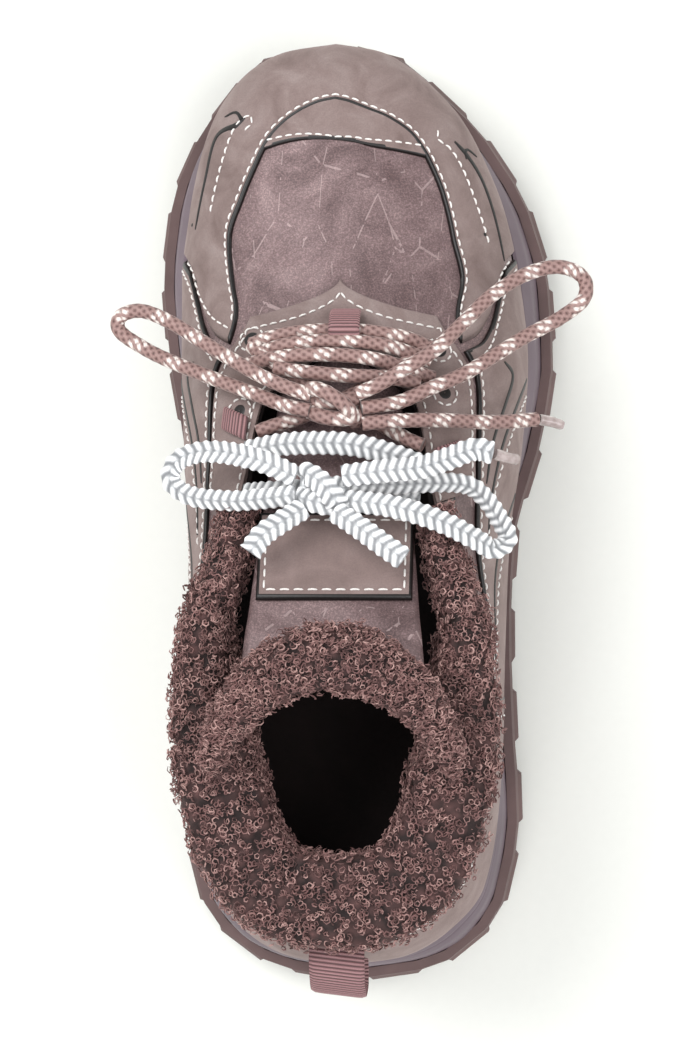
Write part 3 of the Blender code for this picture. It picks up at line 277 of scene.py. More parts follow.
def wall_controls(u):
    """The four control points of the upper's wall at u, from the feather line up to the crown line."""
    s = np.abs(u)
    side = np.where(u > 0, 1.0, -1.0)
    along = UPPER["along"](s)
    crown_along = UPPER["crown_along"](s)
    flat = outline(UPPER, u)
    outward_flat = inset_plan(UPPER, u, -1.0) - flat
    foot = stack(flat[..., 0], flat[..., 1], feather_height(along))
    half = UPPER["crown_half"](s) * HALF_WIDTH
    crown_z = PLATFORM_HEIGHT + UPPER["crown_height"](s) * VAMP_HEIGHT
    crown = stack(centre_x(crown_along) + side * half, y_at(crown_along), crown_z)
    rise = crown[..., 2] - foot[..., 2]
    swell = UPPER["bulge"](s) * HALF_WIDTH
    swollen = stack(outward_flat[..., 0] * swell, outward_flat[..., 1] * swell, 0.0)
    low = foot + swollen + stack(0.0, 0.0, rise * UPPER["rise"](s))
    away = foot[..., :2] - crown[..., :2]
    fall = CROWN_FALL * half / HALF_WIDTH
    drop = away[..., 1] * ridge_slope(crown_along) - np.linalg.norm(away, axis=-1) * fall
    arch = stack(away[..., 0], away[..., 1], drop)
    stand = swollen + stack(0.0, 0.0, -rise)
    upright = UPPER["upright"](s)[..., None]
    high = crown + (arch * (1 - upright) + stand * upright) * UPPER["reach"](s)[..., None]
    return np.concatenate([foot, low, high, crown], axis=-1)


DENSE_U = np.linspace(-1.0, 1.0, 2401)
DENSE_WALL = wall_controls(DENSE_U)
DENSE_TURN = np.gradient(DENSE_WALL, DENSE_U, axis=0)


def at_dense(table, u):
    columns = [np.interp(u, DENSE_U, table[:, k]) for k in range(table.shape[1])]
    return np.stack(columns, axis=-1).reshape(np.shape(u) + (4, 3))


def bezier(points, h):
    k = 1 - h
    weights = (k**3, 3 * k * k * h, 3 * k * h * h, h**3)
    return sum(w[..., None] * points[..., i, :] for i, w in enumerate(weights))


def wall(u, h):
    u, h = np.broadcast_arrays(np.asarray(u, float), np.asarray(h, float))
    return bezier(at_dense(DENSE_WALL, u), h)


def wall_up(u, h):
    """How the wall runs on upwards, per step of h."""
    points = at_dense(DENSE_WALL, u)
    k = 1 - h
    steps = points[..., 1:, :] - points[..., :-1, :]
    weights = (3 * k * k, 6 * k * h, 3 * h * h)
    return sum(w[..., None] * steps[..., i, :] for i, w in enumerate(weights))


def wall_normal(u, h):
    u, h = np.broadcast_arrays(np.asarray(u, float), np.asarray(h, float))
    side = np.where(u > 0, 1.0, -1.0)
    clear = side * np.clip(np.abs(u), SMALL_STEP, 1 - SMALL_STEP)
    up = wall_up(clear, np.minimum(h, 0.997))
    turn = bezier(at_dense(DENSE_TURN, clear), np.minimum(h, 0.997))
    normal = unit(np.cross(up, turn))
    ridge = unit(stack(0.0, -ridge_slope(UPPER["crown_along"](np.abs(u))), 1.0))
    share = np.where(np.abs(u) <= THROAT_START + 1e-6, np.clip((h - 0.94) / 0.06, 0, 1), 0.0)[..., None]
    return unit(normal * (1 - share) + ridge * share)


def skin(u, h, offset=0.0):
    """Points at this distance outside the upper's outer skin."""
    return wall(u, h) + wall_normal(u, h) * np.asarray(offset)[..., None]


# Meshes


def grid_faces(rows, columns, close_rows=False, close_columns=False, start=0):
    """Four-cornered faces over a grid of points, with each corner's own place in the grid."""
    i, j = np.meshgrid(
        np.arange(rows if close_rows else rows - 1),
        np.arange(columns if close_columns else columns - 1),
        indexing="ij",
    )
    corners = [(i, j), (i + 1, j), (i + 1, j + 1), (i, j + 1)]
    faces = np.stack([(a % rows) * columns + (b % columns) for a, b in corners], axis=-1).reshape(-1, 4)
    places = np.stack([np.stack([a, b], axis=-1) for a, b in corners], axis=-2).reshape(-1, 2)
    return faces + start, places


def mesh_piece(name, points, faces, surfaces, marks=None, uv=None, pick=None, weld=False, flip=False):
    """A shown piece from points and one or more arrays of faces, with any values at its points and corners."""
    points = np.asarray(points, float).reshape(-1, 3)
    groups = [np.asarray(group) for group in faces]
    if flip:
        groups = [group[:, ::-1] for group in groups]
    corners = np.concatenate([group.ravel() for group in groups]).astype(np.int32)
    sizes = np.concatenate([np.full(len(group), group.shape[1]) for group in groups])
    mesh = bpy.data.meshes.new(name)
    mesh.vertices.add(len(points))
    mesh.vertices.foreach_set("co", points.astype(np.float32).ravel())
    mesh.loops.add(len(corners))
    mesh.loops.foreach_set("vertex_index", corners)
    mesh.polygons.add(len(sizes))
    mesh.polygons.foreach_set("loop_start", (np.cumsum(sizes) - sizes).astype(np.int32))
    mesh.update(calc_edges=True)
    for surface in surfaces:
        mesh.materials.append(surface)
    if pick is not None:
        mesh.polygons.foreach_set("material_index", np.asarray(pick, np.int32))
    for key, values in (marks or {}).items():
        made = mesh.attributes.new(key, "FLOAT", "POINT")
        made.data.foreach_set("value", np.asarray(values, np.float32).ravel())
    if uv is not None:
        layer = mesh.uv_layers.new(name="strand")
        layer.data.foreach_set("uv", np.asarray(uv, np.float32).ravel())
    if weld:
        work = bmesh.new()
        work.from_mesh(mesh)
        bmesh.ops.remove_doubles(work, verts=work.verts, dist=2e-6)
        work.to_mesh(mesh)
        work.free()
    mesh.validate()
    mesh.shade_smooth()
    made = bpy.data.objects.new(name, mesh)
    bpy.context.scene.collection.objects.link(made)
    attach(made, "root")
    return made


def joined(parts):
    """Points and faces of several (points, faces) pairs as one."""
    points, faces, start = [], [], 0
    for some, their in parts:
        some = np.asarray(some).reshape(-1, 3)
        points.append(some)
        faces.append(np.asarray(their) + start)
        start += len(some)
    return np.concatenate(points), np.concatenate(faces)


def spline(route, spacing):
    """Points this far apart on a smooth curve through a route's own points."""
    p = np.array(route, float)
    p = np.concatenate([[2 * p[0] - p[1]], p, [2 * p[-1] - p[-2]]])
    t = np.linspace(0, 1, 40, endpoint=False)[:, None]
    dense = []
    for a, b, c, d in zip(p, p[1:], p[2:], p[3:]):
        dense.append(0.5 * (2 * b + (c - a) * t + (2 * a - 5 * b + 4 * c - d) * t**2
                            + (3 * b - a - 3 * c + d) * t**3))
    dense = np.concatenate(dense + [p[-2:-1]])
    far = np.concatenate([[0], np.cumsum(np.linalg.norm(np.diff(dense, axis=0), axis=1))])
    goals = np.linspace(0, far[-1], max(3, int(round(far[-1] / spacing)) + 1))
    return np.stack([np.interp(goals, far, dense[:, k]) for k in range(3)], axis=-1)


# Materials


def linear(hex_colour):
    """A colour written as sRGB hex, as the linear values that shaders take."""
    parts = [int(hex_colour[i:i + 2], 16) / 255 for i in (1, 3, 5)]
    return (*(c / 12.92 if c <= 0.04045 else ((c + 0.055) / 1.055) ** 2.4 for c in parts), 1.0)


def add(tree, kind, settings=(), stops=(), **inputs):
    """Adds a node with its settings; an input is a value, or (node, output) to be linked.

    An input without a name of its own is given by its number, as in i6. Stops are (place, colour) of a blend.
    """
    made = tree.nodes.new("ShaderNode" + kind)
    for k, (place, colour) in enumerate(stops):
        if k == len(made.color_ramp.elements):
            made.color_ramp.elements.new(place)
        made.color_ramp.elements[k].position = place
        made.color_ramp.elements[k].color = linear(colour)
    for key, value in dict(settings).items():
        setattr(made, key, value)
    for key, value in inputs.items():
        name = key.replace("_", " ").strip()
        socket = made.inputs[int(name[1:])] if name[1:].isdigit() and name[0] == "i" else made.inputs[name]
        if isinstance(value, tuple) and len(value) == 2 and hasattr(value[0], "outputs"):
            tree.links.new(value[0].outputs[value[1]], socket)
        else:
            socket.default_value = value
    return made


def blank(name, **sockets):
    """A material with its shader's own values set, and the tree and shader to go on with."""
    made = bpy.data.materials.new(name)
    made.use_nodes = True
    tree = made.node_tree
    shader = tree.nodes["Principled BSDF"]
    for key, value in sockets.items():
        shader.inputs[key.replace("_", " ")].default_value = value
    return made, tree, shader


def nubuck(name, dark, middle, light):
    """Nubuck: leather sanded on its grain side, matt, the nap lying in cloudy light and dark patches."""
    made, tree, shader = blank(name, Roughness=0.88, Sheen_Weight=0.25, Sheen_Roughness=0.45)
    shader.inputs["Sheen Tint"].default_value = linear("#B8A5A2")
    place = add(tree, "TexCoord")
    clouds = add(tree, "TexNoise", Vector=(place, "Object"), Scale=1 / (14 * MM), Detail=4.0,
                 Roughness=0.62, Distortion=0.6)
    nap = add(tree, "TexNoise", Vector=(place, "Object"), Scale=1 / (0.45 * MM), Detail=2.0)
    tone = add(tree, "ValToRGB", stops=((0.30, dark), (0.50, middle), (0.70, light)), Fac=(clouds, "Fac"))
    speck = add(tree, "ValToRGB", stops=((0.3, "#8A8A8A"), (0.7, "#BDBDBD")), Fac=(nap, "Fac"))
    colour = add(tree, "Mix", {"data_type": "RGBA", "blend_type": "OVERLAY"}, i0=0.32, i6=(tone, "Color"),
                 i7=(speck, "Color"))
    tree.links.new(colour.outputs[2], shader.inputs["Base Color"])
    dent = add(tree, "Bump", Height=(nap, "Fac"), Distance=0.10 * MM, Strength=0.5)
    tree.links.new(dent.outputs["Normal"], shader.inputs["Normal"])
    return made


def brushed_leather(name, dark, middle, light):
    """Leather with a brushed metallic film: fine grain whose bright specks are painted glints, cloudy rubbed
    patches and hair-thin cracks.
    """
    made, tree, shader = blank(name, Roughness=0.46, Metallic=0.25)
    place = add(tree, "TexCoord")
    clouds = add(tree, "TexNoise", Vector=(place, "Object"), Scale=1 / (22 * MM), Detail=5.0,
                 Roughness=0.65, Distortion=1.2)
    grain_and_glints = add(tree, "TexNoise", Vector=(place, "Object"), Scale=1 / (0.55 * MM), Detail=3.0,
                 Roughness=0.75)
    tone = add(tree, "ValToRGB", stops=((0.30, dark), (0.52, middle), (0.74, light)), Fac=(clouds, "Fac"))
    # Fine specks: the dark ones are the leather's grain, the bright ones painted glints of the metallic film.
    speck = add(tree, "ValToRGB", stops=((0.34, "#3C3C3C"), (0.50, "#808080"), (0.66, "#D8D8D8")),
                Fac=(grain_and_glints, "Fac"))
    colour = add(tree, "Mix", {"data_type": "RGBA", "blend_type": "OVERLAY"}, i0=0.55, i6=(tone, "Color"),
                 i7=(speck, "Color"))
    stretched = add(tree, "Mapping", Vector=(place, "Object"), Rotation=(0.0, 0.0, 0.42), Scale=(1.0, 0.32,
                                                                                                 1.0))
    cells = add(tree, "TexVoronoi", {"feature": "DISTANCE_TO_EDGE"}, Vector=(stretched, "Vector"),
                Scale=1 / (11 * MM))
    wobble = add(tree, "TexNoise", Vector=(place, "Object"), Scale=1 / (5 * MM), Detail=3.0)
    thin = add(tree, "Math", {"operation": "LESS_THAN"}, i0=(cells, "Distance"), i1=0.014)
    broken = add(tree, "Math", {"operation": "GREATER_THAN"}, i0=(wobble, "Fac"), i1=0.52)
    both = add(tree, "Math", {"operation": "MULTIPLY"}, i0=(thin, "Value"), i1=(broken, "Value"))
    soft = add(tree, "Math", {"operation": "MULTIPLY"}, i0=(both, "Value"), i1=0.38)
    cracked = add(tree, "Mix", {"data_type": "RGBA"}, i0=(soft, "Value"), i6=(colour, 2),
                  i7=linear("#C3ADAB"))
    tree.links.new(cracked.outputs[2], shader.inputs["Base Color"])
    first = add(tree, "Bump", Height=(grain_and_glints, "Fac"), Distance=0.16 * MM, Strength=0.8)
    dent = add(tree, "Bump", Height=(both, "Value"), Distance=0.10 * MM, Strength=0.6, Normal=(first,
                                                                                               "Normal"))
    tree.links.new(dent.outputs["Normal"], shader.inputs["Normal"])
    return made


def moulded(name, dark, light, size, roughness, height):
    """Moulded foam or rubber: one even colour, a fine matt mould texture and faint rubbed patches."""
    made, tree, shader = blank(name, Roughness=roughness)
    place = add(tree, "TexCoord")
    clouds = add(tree, "TexNoise", Vector=(place, "Object"), Scale=1 / (30 * MM), Detail=4.0, Roughness=0.6)
    fine = add(tree, "TexNoise", Vector=(place, "Object"), Scale=1 / size, Detail=2.0)
    tone = add(tree, "ValToRGB", stops=((0.30, dark), (0.70, light)), Fac=(clouds, "Fac"))
    tree.links.new(tone.outputs["Color"], shader.inputs["Base Color"])
    dent = add(tree, "Bump", Height=(fine, "Fac"), Distance=height, Strength=0.5)
    tree.links.new(dent.outputs["Normal"], shader.inputs["Normal"])
    return made


def fleece_pile(name, dark, middle, light):
    """Curly polyester fleece: dull fibres, with painted shade towards the backing and a painted highlight at the
    curls' tops.
    """
    made, tree, shader = blank(name, Roughness=0.82, Sheen_Weight=0.35, Sheen_Roughness=0.5)
    shader.inputs["Sheen Tint"].default_value = linear("#C9A5A0")
    place = add(tree, "TexCoord")
    # shade holds each curl's random tone plus painted shade low and a painted highlight high, and on the backings
    # painted shade in the lumps' hollows.
    shade = add(tree, "Attribute", {"attribute_name": "shade"})
    lumps = add(tree, "TexNoise", Vector=(place, "Object"), Scale=1 / (9 * MM), Detail=3.0)
    mixed = add(tree, "Math", {"operation": "MULTIPLY_ADD"}, i0=(lumps, "Fac"), i1=0.35, i2=-0.17)
    total = add(tree, "Math", {"operation": "ADD"}, i0=(shade, "Fac"), i1=(mixed, "Value"))
    tone = add(tree, "ValToRGB", stops=((0.10, dark), (0.55, middle), (0.95, light)), Fac=(total, "Value"))
    tree.links.new(tone.outputs["Color"], shader.inputs["Base Color"])
    fine = add(tree, "TexNoise", Vector=(place, "Object"), Scale=1 / (0.35 * MM), Detail=2.0)
    dent = add(tree, "Bump", Height=(fine, "Fac"), Distance=0.12 * MM, Strength=0.6)
    tree.links.new(dent.outputs["Normal"], shader.inputs["Normal"])
    return made


def braid(name, groove, body, light, fleck, roughness, sheen):
    """Braided polyester yarn: painted shade in the grooves between the yarns, painted highlights on the yarns'
    tops, pale flecks.
    """
    made, tree, shader = blank(name, Roughness=roughness, Sheen_Weight=sheen, Sheen_Roughness=0.4)
    height = add(tree, "Attribute", {"attribute_name": "height"})
    mark = add(tree, "Attribute", {"attribute_name": "mark"})
    place = add(tree, "TexCoord")
    yarn = add(tree, "TexNoise", Vector=(place, "Object"), Scale=1 / (0.30 * MM), Detail=2.0)
    # The yarns' height picks the colour: groove is painted shade in the grooves, light a painted highlight on the
    # tops, body the yarn's own colour.
    tone = add(tree, "ValToRGB", stops=((0.05, groove), (0.45, body), (0.95, light)), Fac=(height, "Fac"))
    speck = add(tree, "ValToRGB", stops=((0.3, "#6E6E6E"), (0.7, "#A8A8A8")), Fac=(yarn, "Fac"))
    colour = add(tree, "Mix", {"data_type": "RGBA", "blend_type": "OVERLAY"}, i0=0.35, i6=(tone, "Color"),
                 i7=(speck, "Color"))
    marked = add(tree, "Mix", {"data_type": "RGBA"}, i0=(mark, "Fac"), i6=(colour, 2), i7=linear(fleck))
    tree.links.new(marked.outputs[2], shader.inputs["Base Color"])
    dent = add(tree, "Bump", Height=(yarn, "Fac"), Distance=0.10 * MM, Strength=0.5)
    tree.links.new(dent.outputs["Normal"], shader.inputs["Normal"])
    return made


def thread(name, colour, roughness=0.6):
    """Waxed sewing thread: one colour, twisted, with a slight gloss."""
    made, tree, shader = blank(name, Roughness=roughness)
    place = add(tree, "TexCoord")
    twist = add(tree, "TexNoise", Vector=(place, "Object"), Scale=1 / (0.25 * MM), Detail=1.0)
    tone = add(tree, "ValToRGB", stops=((0.2, colour), (0.9, "#FFFFFF" if colour > "#A" else colour)),
               Fac=(twist, "Fac"))
    tree.links.new(tone.outputs["Color"], shader.inputs["Base Color"])
    dent = add(tree, "Bump", Height=(twist, "Fac"), Distance=0.05 * MM, Strength=0.5)
    tree.links.new(dent.outputs["Normal"], shader.inputs["Normal"])
    return made


def edge_paint_and_shade_film(name):
    """Paint on the cut edges of leather: a dark, slightly glossy film; the same film stands as painted shade in the
    holes and cut slots and under the label.
    """
    made, tree, shader = blank(name, Roughness=0.42)
    place = add(tree, "TexCoord")
    film = add(tree, "TexNoise", Vector=(place, "Object"), Scale=1 / (0.8 * MM), Detail=2.0)
    tone = add(tree, "ValToRGB", stops=((0.3, "#0B0908"), (0.8, "#1F1817")), Fac=(film, "Fac"))
    tree.links.new(tone.outputs["Color"], shader.inputs["Base Color"])
    dent = add(tree, "Bump", Height=(film, "Fac"), Distance=0.05 * MM, Strength=0.4)
    tree.links.new(dent.outputs["Normal"], shader.inputs["Normal"])
    return made


def clear_film(name):
    """Aglet of clear shrunk film over the lace: glossy, a little milky."""
    made, tree, shader = blank(name, Roughness=0.18, IOR=1.5, Coat_Weight=0.6)
    place = add(tree, "TexCoord")
    cloud = add(tree, "TexNoise", Vector=(place, "Object"), Scale=1 / (2.5 * MM), Detail=2.0)
    tone = add(tree, "ValToRGB", stops=((0.3, "#8B7A77"), (0.7, "#B5A7A4")), Fac=(cloud, "Fac"))
    tree.links.new(tone.outputs["Color"], shader.inputs["Base Color"])
    dent = add(tree, "Bump", Height=(cloud, "Fac"), Distance=0.10 * MM, Strength=0.3)
    tree.links.new(dent.outputs["Normal"], shader.inputs["Normal"])
    return made


NUBUCK = nubuck("nubuck", "#75635F", "#85736F", "#948480")
NUBUCK_LABEL = nubuck("nubuck label", "#7A6864", "#86736F", "#8F7D79")
BRUSHED = brushed_leather("brushed leather", "#6B5555", "#8A7272", "#A48C8B")
EVA = moulded("EVA moulded", "#5C4C55", "#6D5C66", 0.5 * MM, 0.55, 0.04 * MM)
RUBBER = moulded("rubber moulded", "#584543", "#6E5856", 0.7 * MM, 0.72, 0.08 * MM)
PILE = fleece_pile("fleece pile", "#2E1B1A", "#7E5A57", "#BB9790")
# A darker copy of the pile for the backing under the curls: painted shade.
PILE_PAINTED_SHADE = fleece_pile("fleece backing painted shade", "#1E1110", "#4B302E", "#7B5653")
# Each braid: painted shade for the grooves, the yarn's own colour, a painted highlight for the tops, then the
# flecks' colour.
ROUND_BRAID = braid("round braid", "#3E2A28", "#80605B", "#A68781", "#EDE3DC", 0.6, 0.2)
FLAT_BRAID = braid("flat braid", "#8D8F92", "#D4D5D6", "#FAFAFA", "#FFFFFF", 0.42, 0.3)
RIBBED = braid("ribbed tape weave", "#4E3234", "#8A6062", "#A87F80", "#A87F80", 0.6, 0.2)
THREAD = thread("sewing thread", "#CFC6BD")
# The film paints the overlays' cut edges, and is painted shade in holes and slots and under the label.
EDGE = edge_paint_and_shade_film("edge paint and painted shade")
FILM = clear_film("aglet film")
FELT = moulded("felt lining", "#130C0B", "#241817", 1.2 * MM, 0.95, 0.4 * MM)


# Overlays on the upper


def edge_shares(length, inner_steps):
    """Shares from 0 to 1 along this length: close together at both ends, where an edge is rounded."""
    ends = np.array(EDGE_STEPS) / np.asarray(length, float)[..., None]
    last = ends[..., -1:]
    between = last + (1 - 2 * last) * np.linspace(0, 1, inner_steps + 1)
    return np.concatenate([ends[..., :-1], between, 1 - ends[..., -2::-1]], axis=-1)


def round_edge(distance, thickness, radius=0.0011):
    """Height of an overlay's face at this distance from its edge."""
    t = np.clip(distance / radius, 0, 1)
    return thickness * np.sqrt(np.maximum(0.0, 1 - (1 - t) ** 2))


def run_lengths(points, axis):
    steps = np.linalg.norm(np.diff(points, axis=axis), axis=-1)
    start = np.zeros_like(np.take(steps, [0], axis=axis))
    return np.concatenate([start, np.cumsum(steps, axis=axis)], axis=axis)


def near_line(points, line):
    """Distance of each point from a line of points."""
    flat = points.reshape(-1, 3)
    a, b = line[:-1], line[1:]
    best = np.full(len(flat), 1.0)
    for start, end in zip(a, b):
        along = end - start
        t = np.clip(((flat - start) @ along) / max(along @ along, 1e-12), 0, 1)
        best = np.minimum(best, np.linalg.norm(flat - start - t[:, None] * along, axis=1))
    return best.reshape(points.shape[:-1])


def overlay_piece(name, u, h, surface, free, lines=(), lift=OVERLAY_GAP, thickness=OVERLAY, mirrored=False,
                  nodes=(),
                  dark=("high",)):
    """An overlay over a grid of the wall: free names its own edges, dark those with painted cut edges, lines its
    seams.
    """
    base_points = wall(u, h)
    down = run_lengths(base_points, 1)
    across = run_lengths(base_points, 0)
    far = {
        "low": down,
        "high": down[:, -1:] - down,
        "start": across,
        "end": across[-1:, :] - across,
    }
    edge = np.min([far[key] for key in free] or [np.full(u.shape, 1.0)], axis=0)
    paint = np.min([far[key] for key in dark] or [np.full(u.shape, 1.0)], axis=0)
    height = round_edge(edge, thickness)
    for line in lines:
        gap = near_line(base_points, line)
        height = height - 0.22 * MM * np.exp(-(gap / (0.8 * MM)) ** 2)
    normal = wall_normal(u, h)
    top = base_points + normal * (lift + height)[..., None]
    under = base_points + normal * lift
    rows, columns = u.shape
    faces, _ = grid_faces(rows, columns)
    middle = 0.25 * sum(paint.ravel()[faces[:, k]] for k in range(4))
    pick = (middle < EDGE_STEPS[-1] * 0.98).astype(int) if dark else np.zeros(len(faces), int)
    below, _ = grid_faces(rows, columns, start=rows * columns)
    points = np.concatenate([top.reshape(-1, 3), under.reshape(-1, 3)])
    made = mesh_piece(name, points, [faces, below[:, ::-1]], [surface, EDGE],
                      pick=np.concatenate([pick, np.zeros(len(below), int)]), weld=True, flip=not mirrored)
    if nodes:
        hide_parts(*nodes)
    return made


def guard_edge(u):
    return np.where(u > 0, GUARD[1](np.abs(u)), GUARD[0](np.abs(u)))


def wall_line(places, spacing=1.0 * MM, offset=0.0):
    """Points of a line on the wall, through (u, h) places."""
    places = np.array(places, float)
    route = np.concatenate([places, np.zeros((len(places), 1))], axis=1)
    dense = spline(route, 0.004)[:, :2] if len(places) > 2 else np.stack(
        [np.interp(t, range(len(places)), places[:, k]) for k in range(2)], axis=-1)
    points = wall(dense[:, 0], dense[:, 1])
    far = np.concatenate([[0], np.cumsum(np.linalg.norm(np.diff(points, axis=0), axis=1))])
    goals = np.linspace(0, far[-1], max(3, int(far[-1] / spacing)))
    u = np.interp(goals, far, dense[:, 0])
    h = np.interp(goals, far, dense[:, 1])
    return wall(u, h) + wall_normal(u, h) * offset, wall_normal(u, h)


STITCHES = []


def stitch(line, normals, lift, pitch=3.1 * MM, run=2.35 * MM, radius=0.34 * MM):
    """Sews short capsules of thread along a line, in pairs of holes."""
    far = np.concatenate([[0], np.cumsum(np.linalg.norm(np.diff(line, axis=0), axis=1))])
    count = int(far[-1] / pitch)
    if count < 1:
        return
    turn = np.linspace(0, 2 * np.pi, 6, endpoint=False)
    for k in range(count):
        start = (k + 0.5) * far[-1] / count - run / 2
        rings = []
        for share, width, height in ((0, 0.35, -0.5), (0.16, 0.9, 0.3), (0.5, 1.0, 0.75), (0.84, 0.9, 0.3),
                                     (1, 0.35, -0.5)):
            goal = start + share * run
            place = np.array([np.interp(goal, far, line[:, a]) for a in range(3)])
            ahead = np.array([np.interp(goal + 1e-4, far, line[:, a]) - np.interp(goal - 1e-4, far, line[:,
                                                                                                         a])
                              for a in range(3)])
            normal = unit(np.array([np.interp(goal, far, normals[:, a]) for a in range(3)]))
            side = unit(np.cross(ahead, normal))
            middle = place + normal * (lift + height * radius)
            rings.append(middle + radius * width * (np.cos(turn)[:, None] * side + np.sin(turn)[:,
                                                                                                None] * normal))
        points = np.array(rings)
        faces, _ = grid_faces(5, 6, close_columns=True)
        STITCHES.append((points, faces))


def ribbon(name, line, normals, widths, lift, surface):
    """A flat dark strip along a line, its middle a little sunk: painted shade standing in for the inside of a cut
    slot.
    """
    ahead = np.gradient(line, axis=0)
    side = unit(np.cross(ahead, normals))
    half = np.asarray(widths)[:, None, None] / 2
    across = np.array([-1.0, -0.6, 0.0, 0.6, 1.0])[None, :, None]
    height = lift + np.array([-0.25, 0.10, -0.05, 0.10, -0.25])[None, :, None] * MM
    points = line[:, None, :] + side[:, None, :] * half * across + normals[:, None, :] * height
    faces, _ = grid_faces(len(line), 5)
    return mesh_piece(name, points, [faces], [surface])


SLOT_WIDTH = 1.5 * MM
TOP_LIFT = OVERLAY_GAP + OVERLAY


def cut_slot(name, places, width=SLOT_WIDTH, lift=TOP_LIFT, taper=0.5):
    line, normals = wall_line(places)
    t = np.linspace(0, 1, len(line))
    widths = width * np.clip(np.minimum(t, 1 - t) * 8 + 0.35, 0, 1) * (1 - taper * t)
    # The dark strip is painted shade in the slot's opening.
    ribbon(name, line, normals, widths, lift + 0.15 * MM, EDGE)


def sewn(places, lift=TOP_LIFT):
    """Sews a seam along (u, h) places and returns its line, so that the overlay sinks under it."""
    line, normals = wall_line(places)
    stitch(line, normals, lift - 0.12 * MM)
    return line


GUARD_END = 0.46
GUARD_SEAM = 1.9 * MM


def offset_edge(us, hs, inward):
    """(u, h) places of a line that runs beside an edge of the wall, this far below it."""
    us, hs = np.asarray(us, float), np.asarray(hs, float)
    return np.stack([us, hs - inward / np.linalg.norm(wall_up(us, hs), axis=-1)], axis=-1)


GUARD_BACK = smooth(((0.0, 0.385), (0.22, 0.398), (0.30, 0.425), (0.40, 0.450), (0.52, 0.463), (1.0,
                                                                                                0.468)), 1)


def make_toe_guard():
    """The nubuck guard round the toe, with its sewn inner edge, side vents and rear seam."""
    t = np.linspace(-1, 1, 221)
    u_line = t * GUARD_END
    high = guard_edge(u_line)
    lengths = run_lengths(wall(u_line[:, None], np.linspace(0, 1, 12)[None, :] * high[:, None]), 1)[:, -1]
    shares = edge_shares(lengths, 34)
    h = 0.015 + (high[:, None] - 0.015) * shares
    u = t[:, None] * GUARD_BACK(h)
    seam_u = np.linspace(-0.445, 0.445, 90)
    inner = offset_edge(seam_u, guard_edge(seam_u), GUARD_SEAM)
    seams = [
        sewn(inner),
        sewn(((-0.395, 0.20), (-0.405, 0.27), (-0.430, 0.34), (-0.446, 0.44), (-0.452, 0.56))),
        sewn(((0.395, 0.18), (0.408, 0.27), (0.430, 0.35), (0.446, 0.46), (0.452, 0.56))),
        sewn(((-0.200, 0.47), (-0.182, 0.50), (-0.172, 0.46), (-0.200, 0.40), (-0.262, 0.38), (-0.330,
                                                                                               0.36))),
        sewn(((0.205, 0.40), (0.222, 0.43), (0.238, 0.385), (0.270, 0.355), (0.325, 0.345), (0.372, 0.325))),
    ]
    overlay_piece("toe_guard_nubuck", u, h, NUBUCK, ("high", "start", "end"), seams, nodes=("toe_guard",),
                  dark=("high",))
    cut_slot("vent_inner", ((-0.178, 0.44), (-0.196, 0.40), (-0.225, 0.27), (-0.290, 0.27), (-0.355,
                                                                                             0.25)), 2.2 * MM)
    cut_slot("vent_inner_hook", ((-0.186, 0.44), (-0.176, 0.36), (-0.190, 0.28)), 1.5 * MM)
    cut_slot("vent_outer", ((0.232, 0.33), (0.256, 0.28), (0.290, 0.24), (0.330, 0.235), (0.395, 0.235)),
             2.2 * MM)
    cut_slot("vent_outer_hook", ((0.262, 0.30), (0.248, 0.26), (0.262, 0.19)), 1.5 * MM)


BAND_LEFT = smooth(((0.0, 0.226), (0.35, 0.182), (0.93, 0.124), (1.0, 0.117)), 1)
BAND_RIGHT = smooth(((0.0, 0.247), (0.30, 0.215), (0.55, 0.185), (0.68, 0.163), (1.0, 0.117)), 1)


def half_points(side, share, reach):
    """(u, h) of the band across the toe: share runs from the guard up to the ridge, reach back to its edge."""
    end = BAND_RIGHT(share) if side > 0 else BAND_LEFT(share)
    s = end * reach
    low = guard_edge(side * np.maximum(s, 1e-6)) - 0.03
    return side * s, low + (1 - low) * share


def make_toe_band():
    """The nubuck band across the front of the vamp, tucked under the guard."""
    share = np.linspace(0, 1, 61)[:, None]
    reach = edge_shares(np.array(0.018), 20)[None, :]
    line = []
    for side in (-1, 1):
        u, h = half_points(side, np.linspace(0.02, 1, 30), 0.905)
        places = np.stack([u, h], axis=-1)
        line.append(places if side < 0 else places[::-1])
    left, left_normals = wall_line(line[0])
    right, right_normals = wall_line(line[1])
    seam = np.concatenate([left, right[1:]])
    stitch(seam, np.concatenate([left_normals, right_normals[1:]]), TOP_LIFT - 0.5 * MM)
    for side, name in ((-1, "toe_band_inner"), (1, "toe_band_outer")):
        u, h = half_points(side, share, reach)
        made = overlay_piece(name, u, h, NUBUCK, ("high",), [seam], thickness=0.0009, mirrored=side > 0)
        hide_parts("toe_cap")


PANEL_LOW = 0.63
PANEL_RIDGE = 0.365
PANEL_SIDE = 0.435
PANEL_END = 0.602


def panel_start(h):
    share = np.clip((1 - h) / (1 - PANEL_LOW), 0, 1)
    return PANEL_RIDGE + (PANEL_SIDE - PANEL_RIDGE) * share ** 0.7


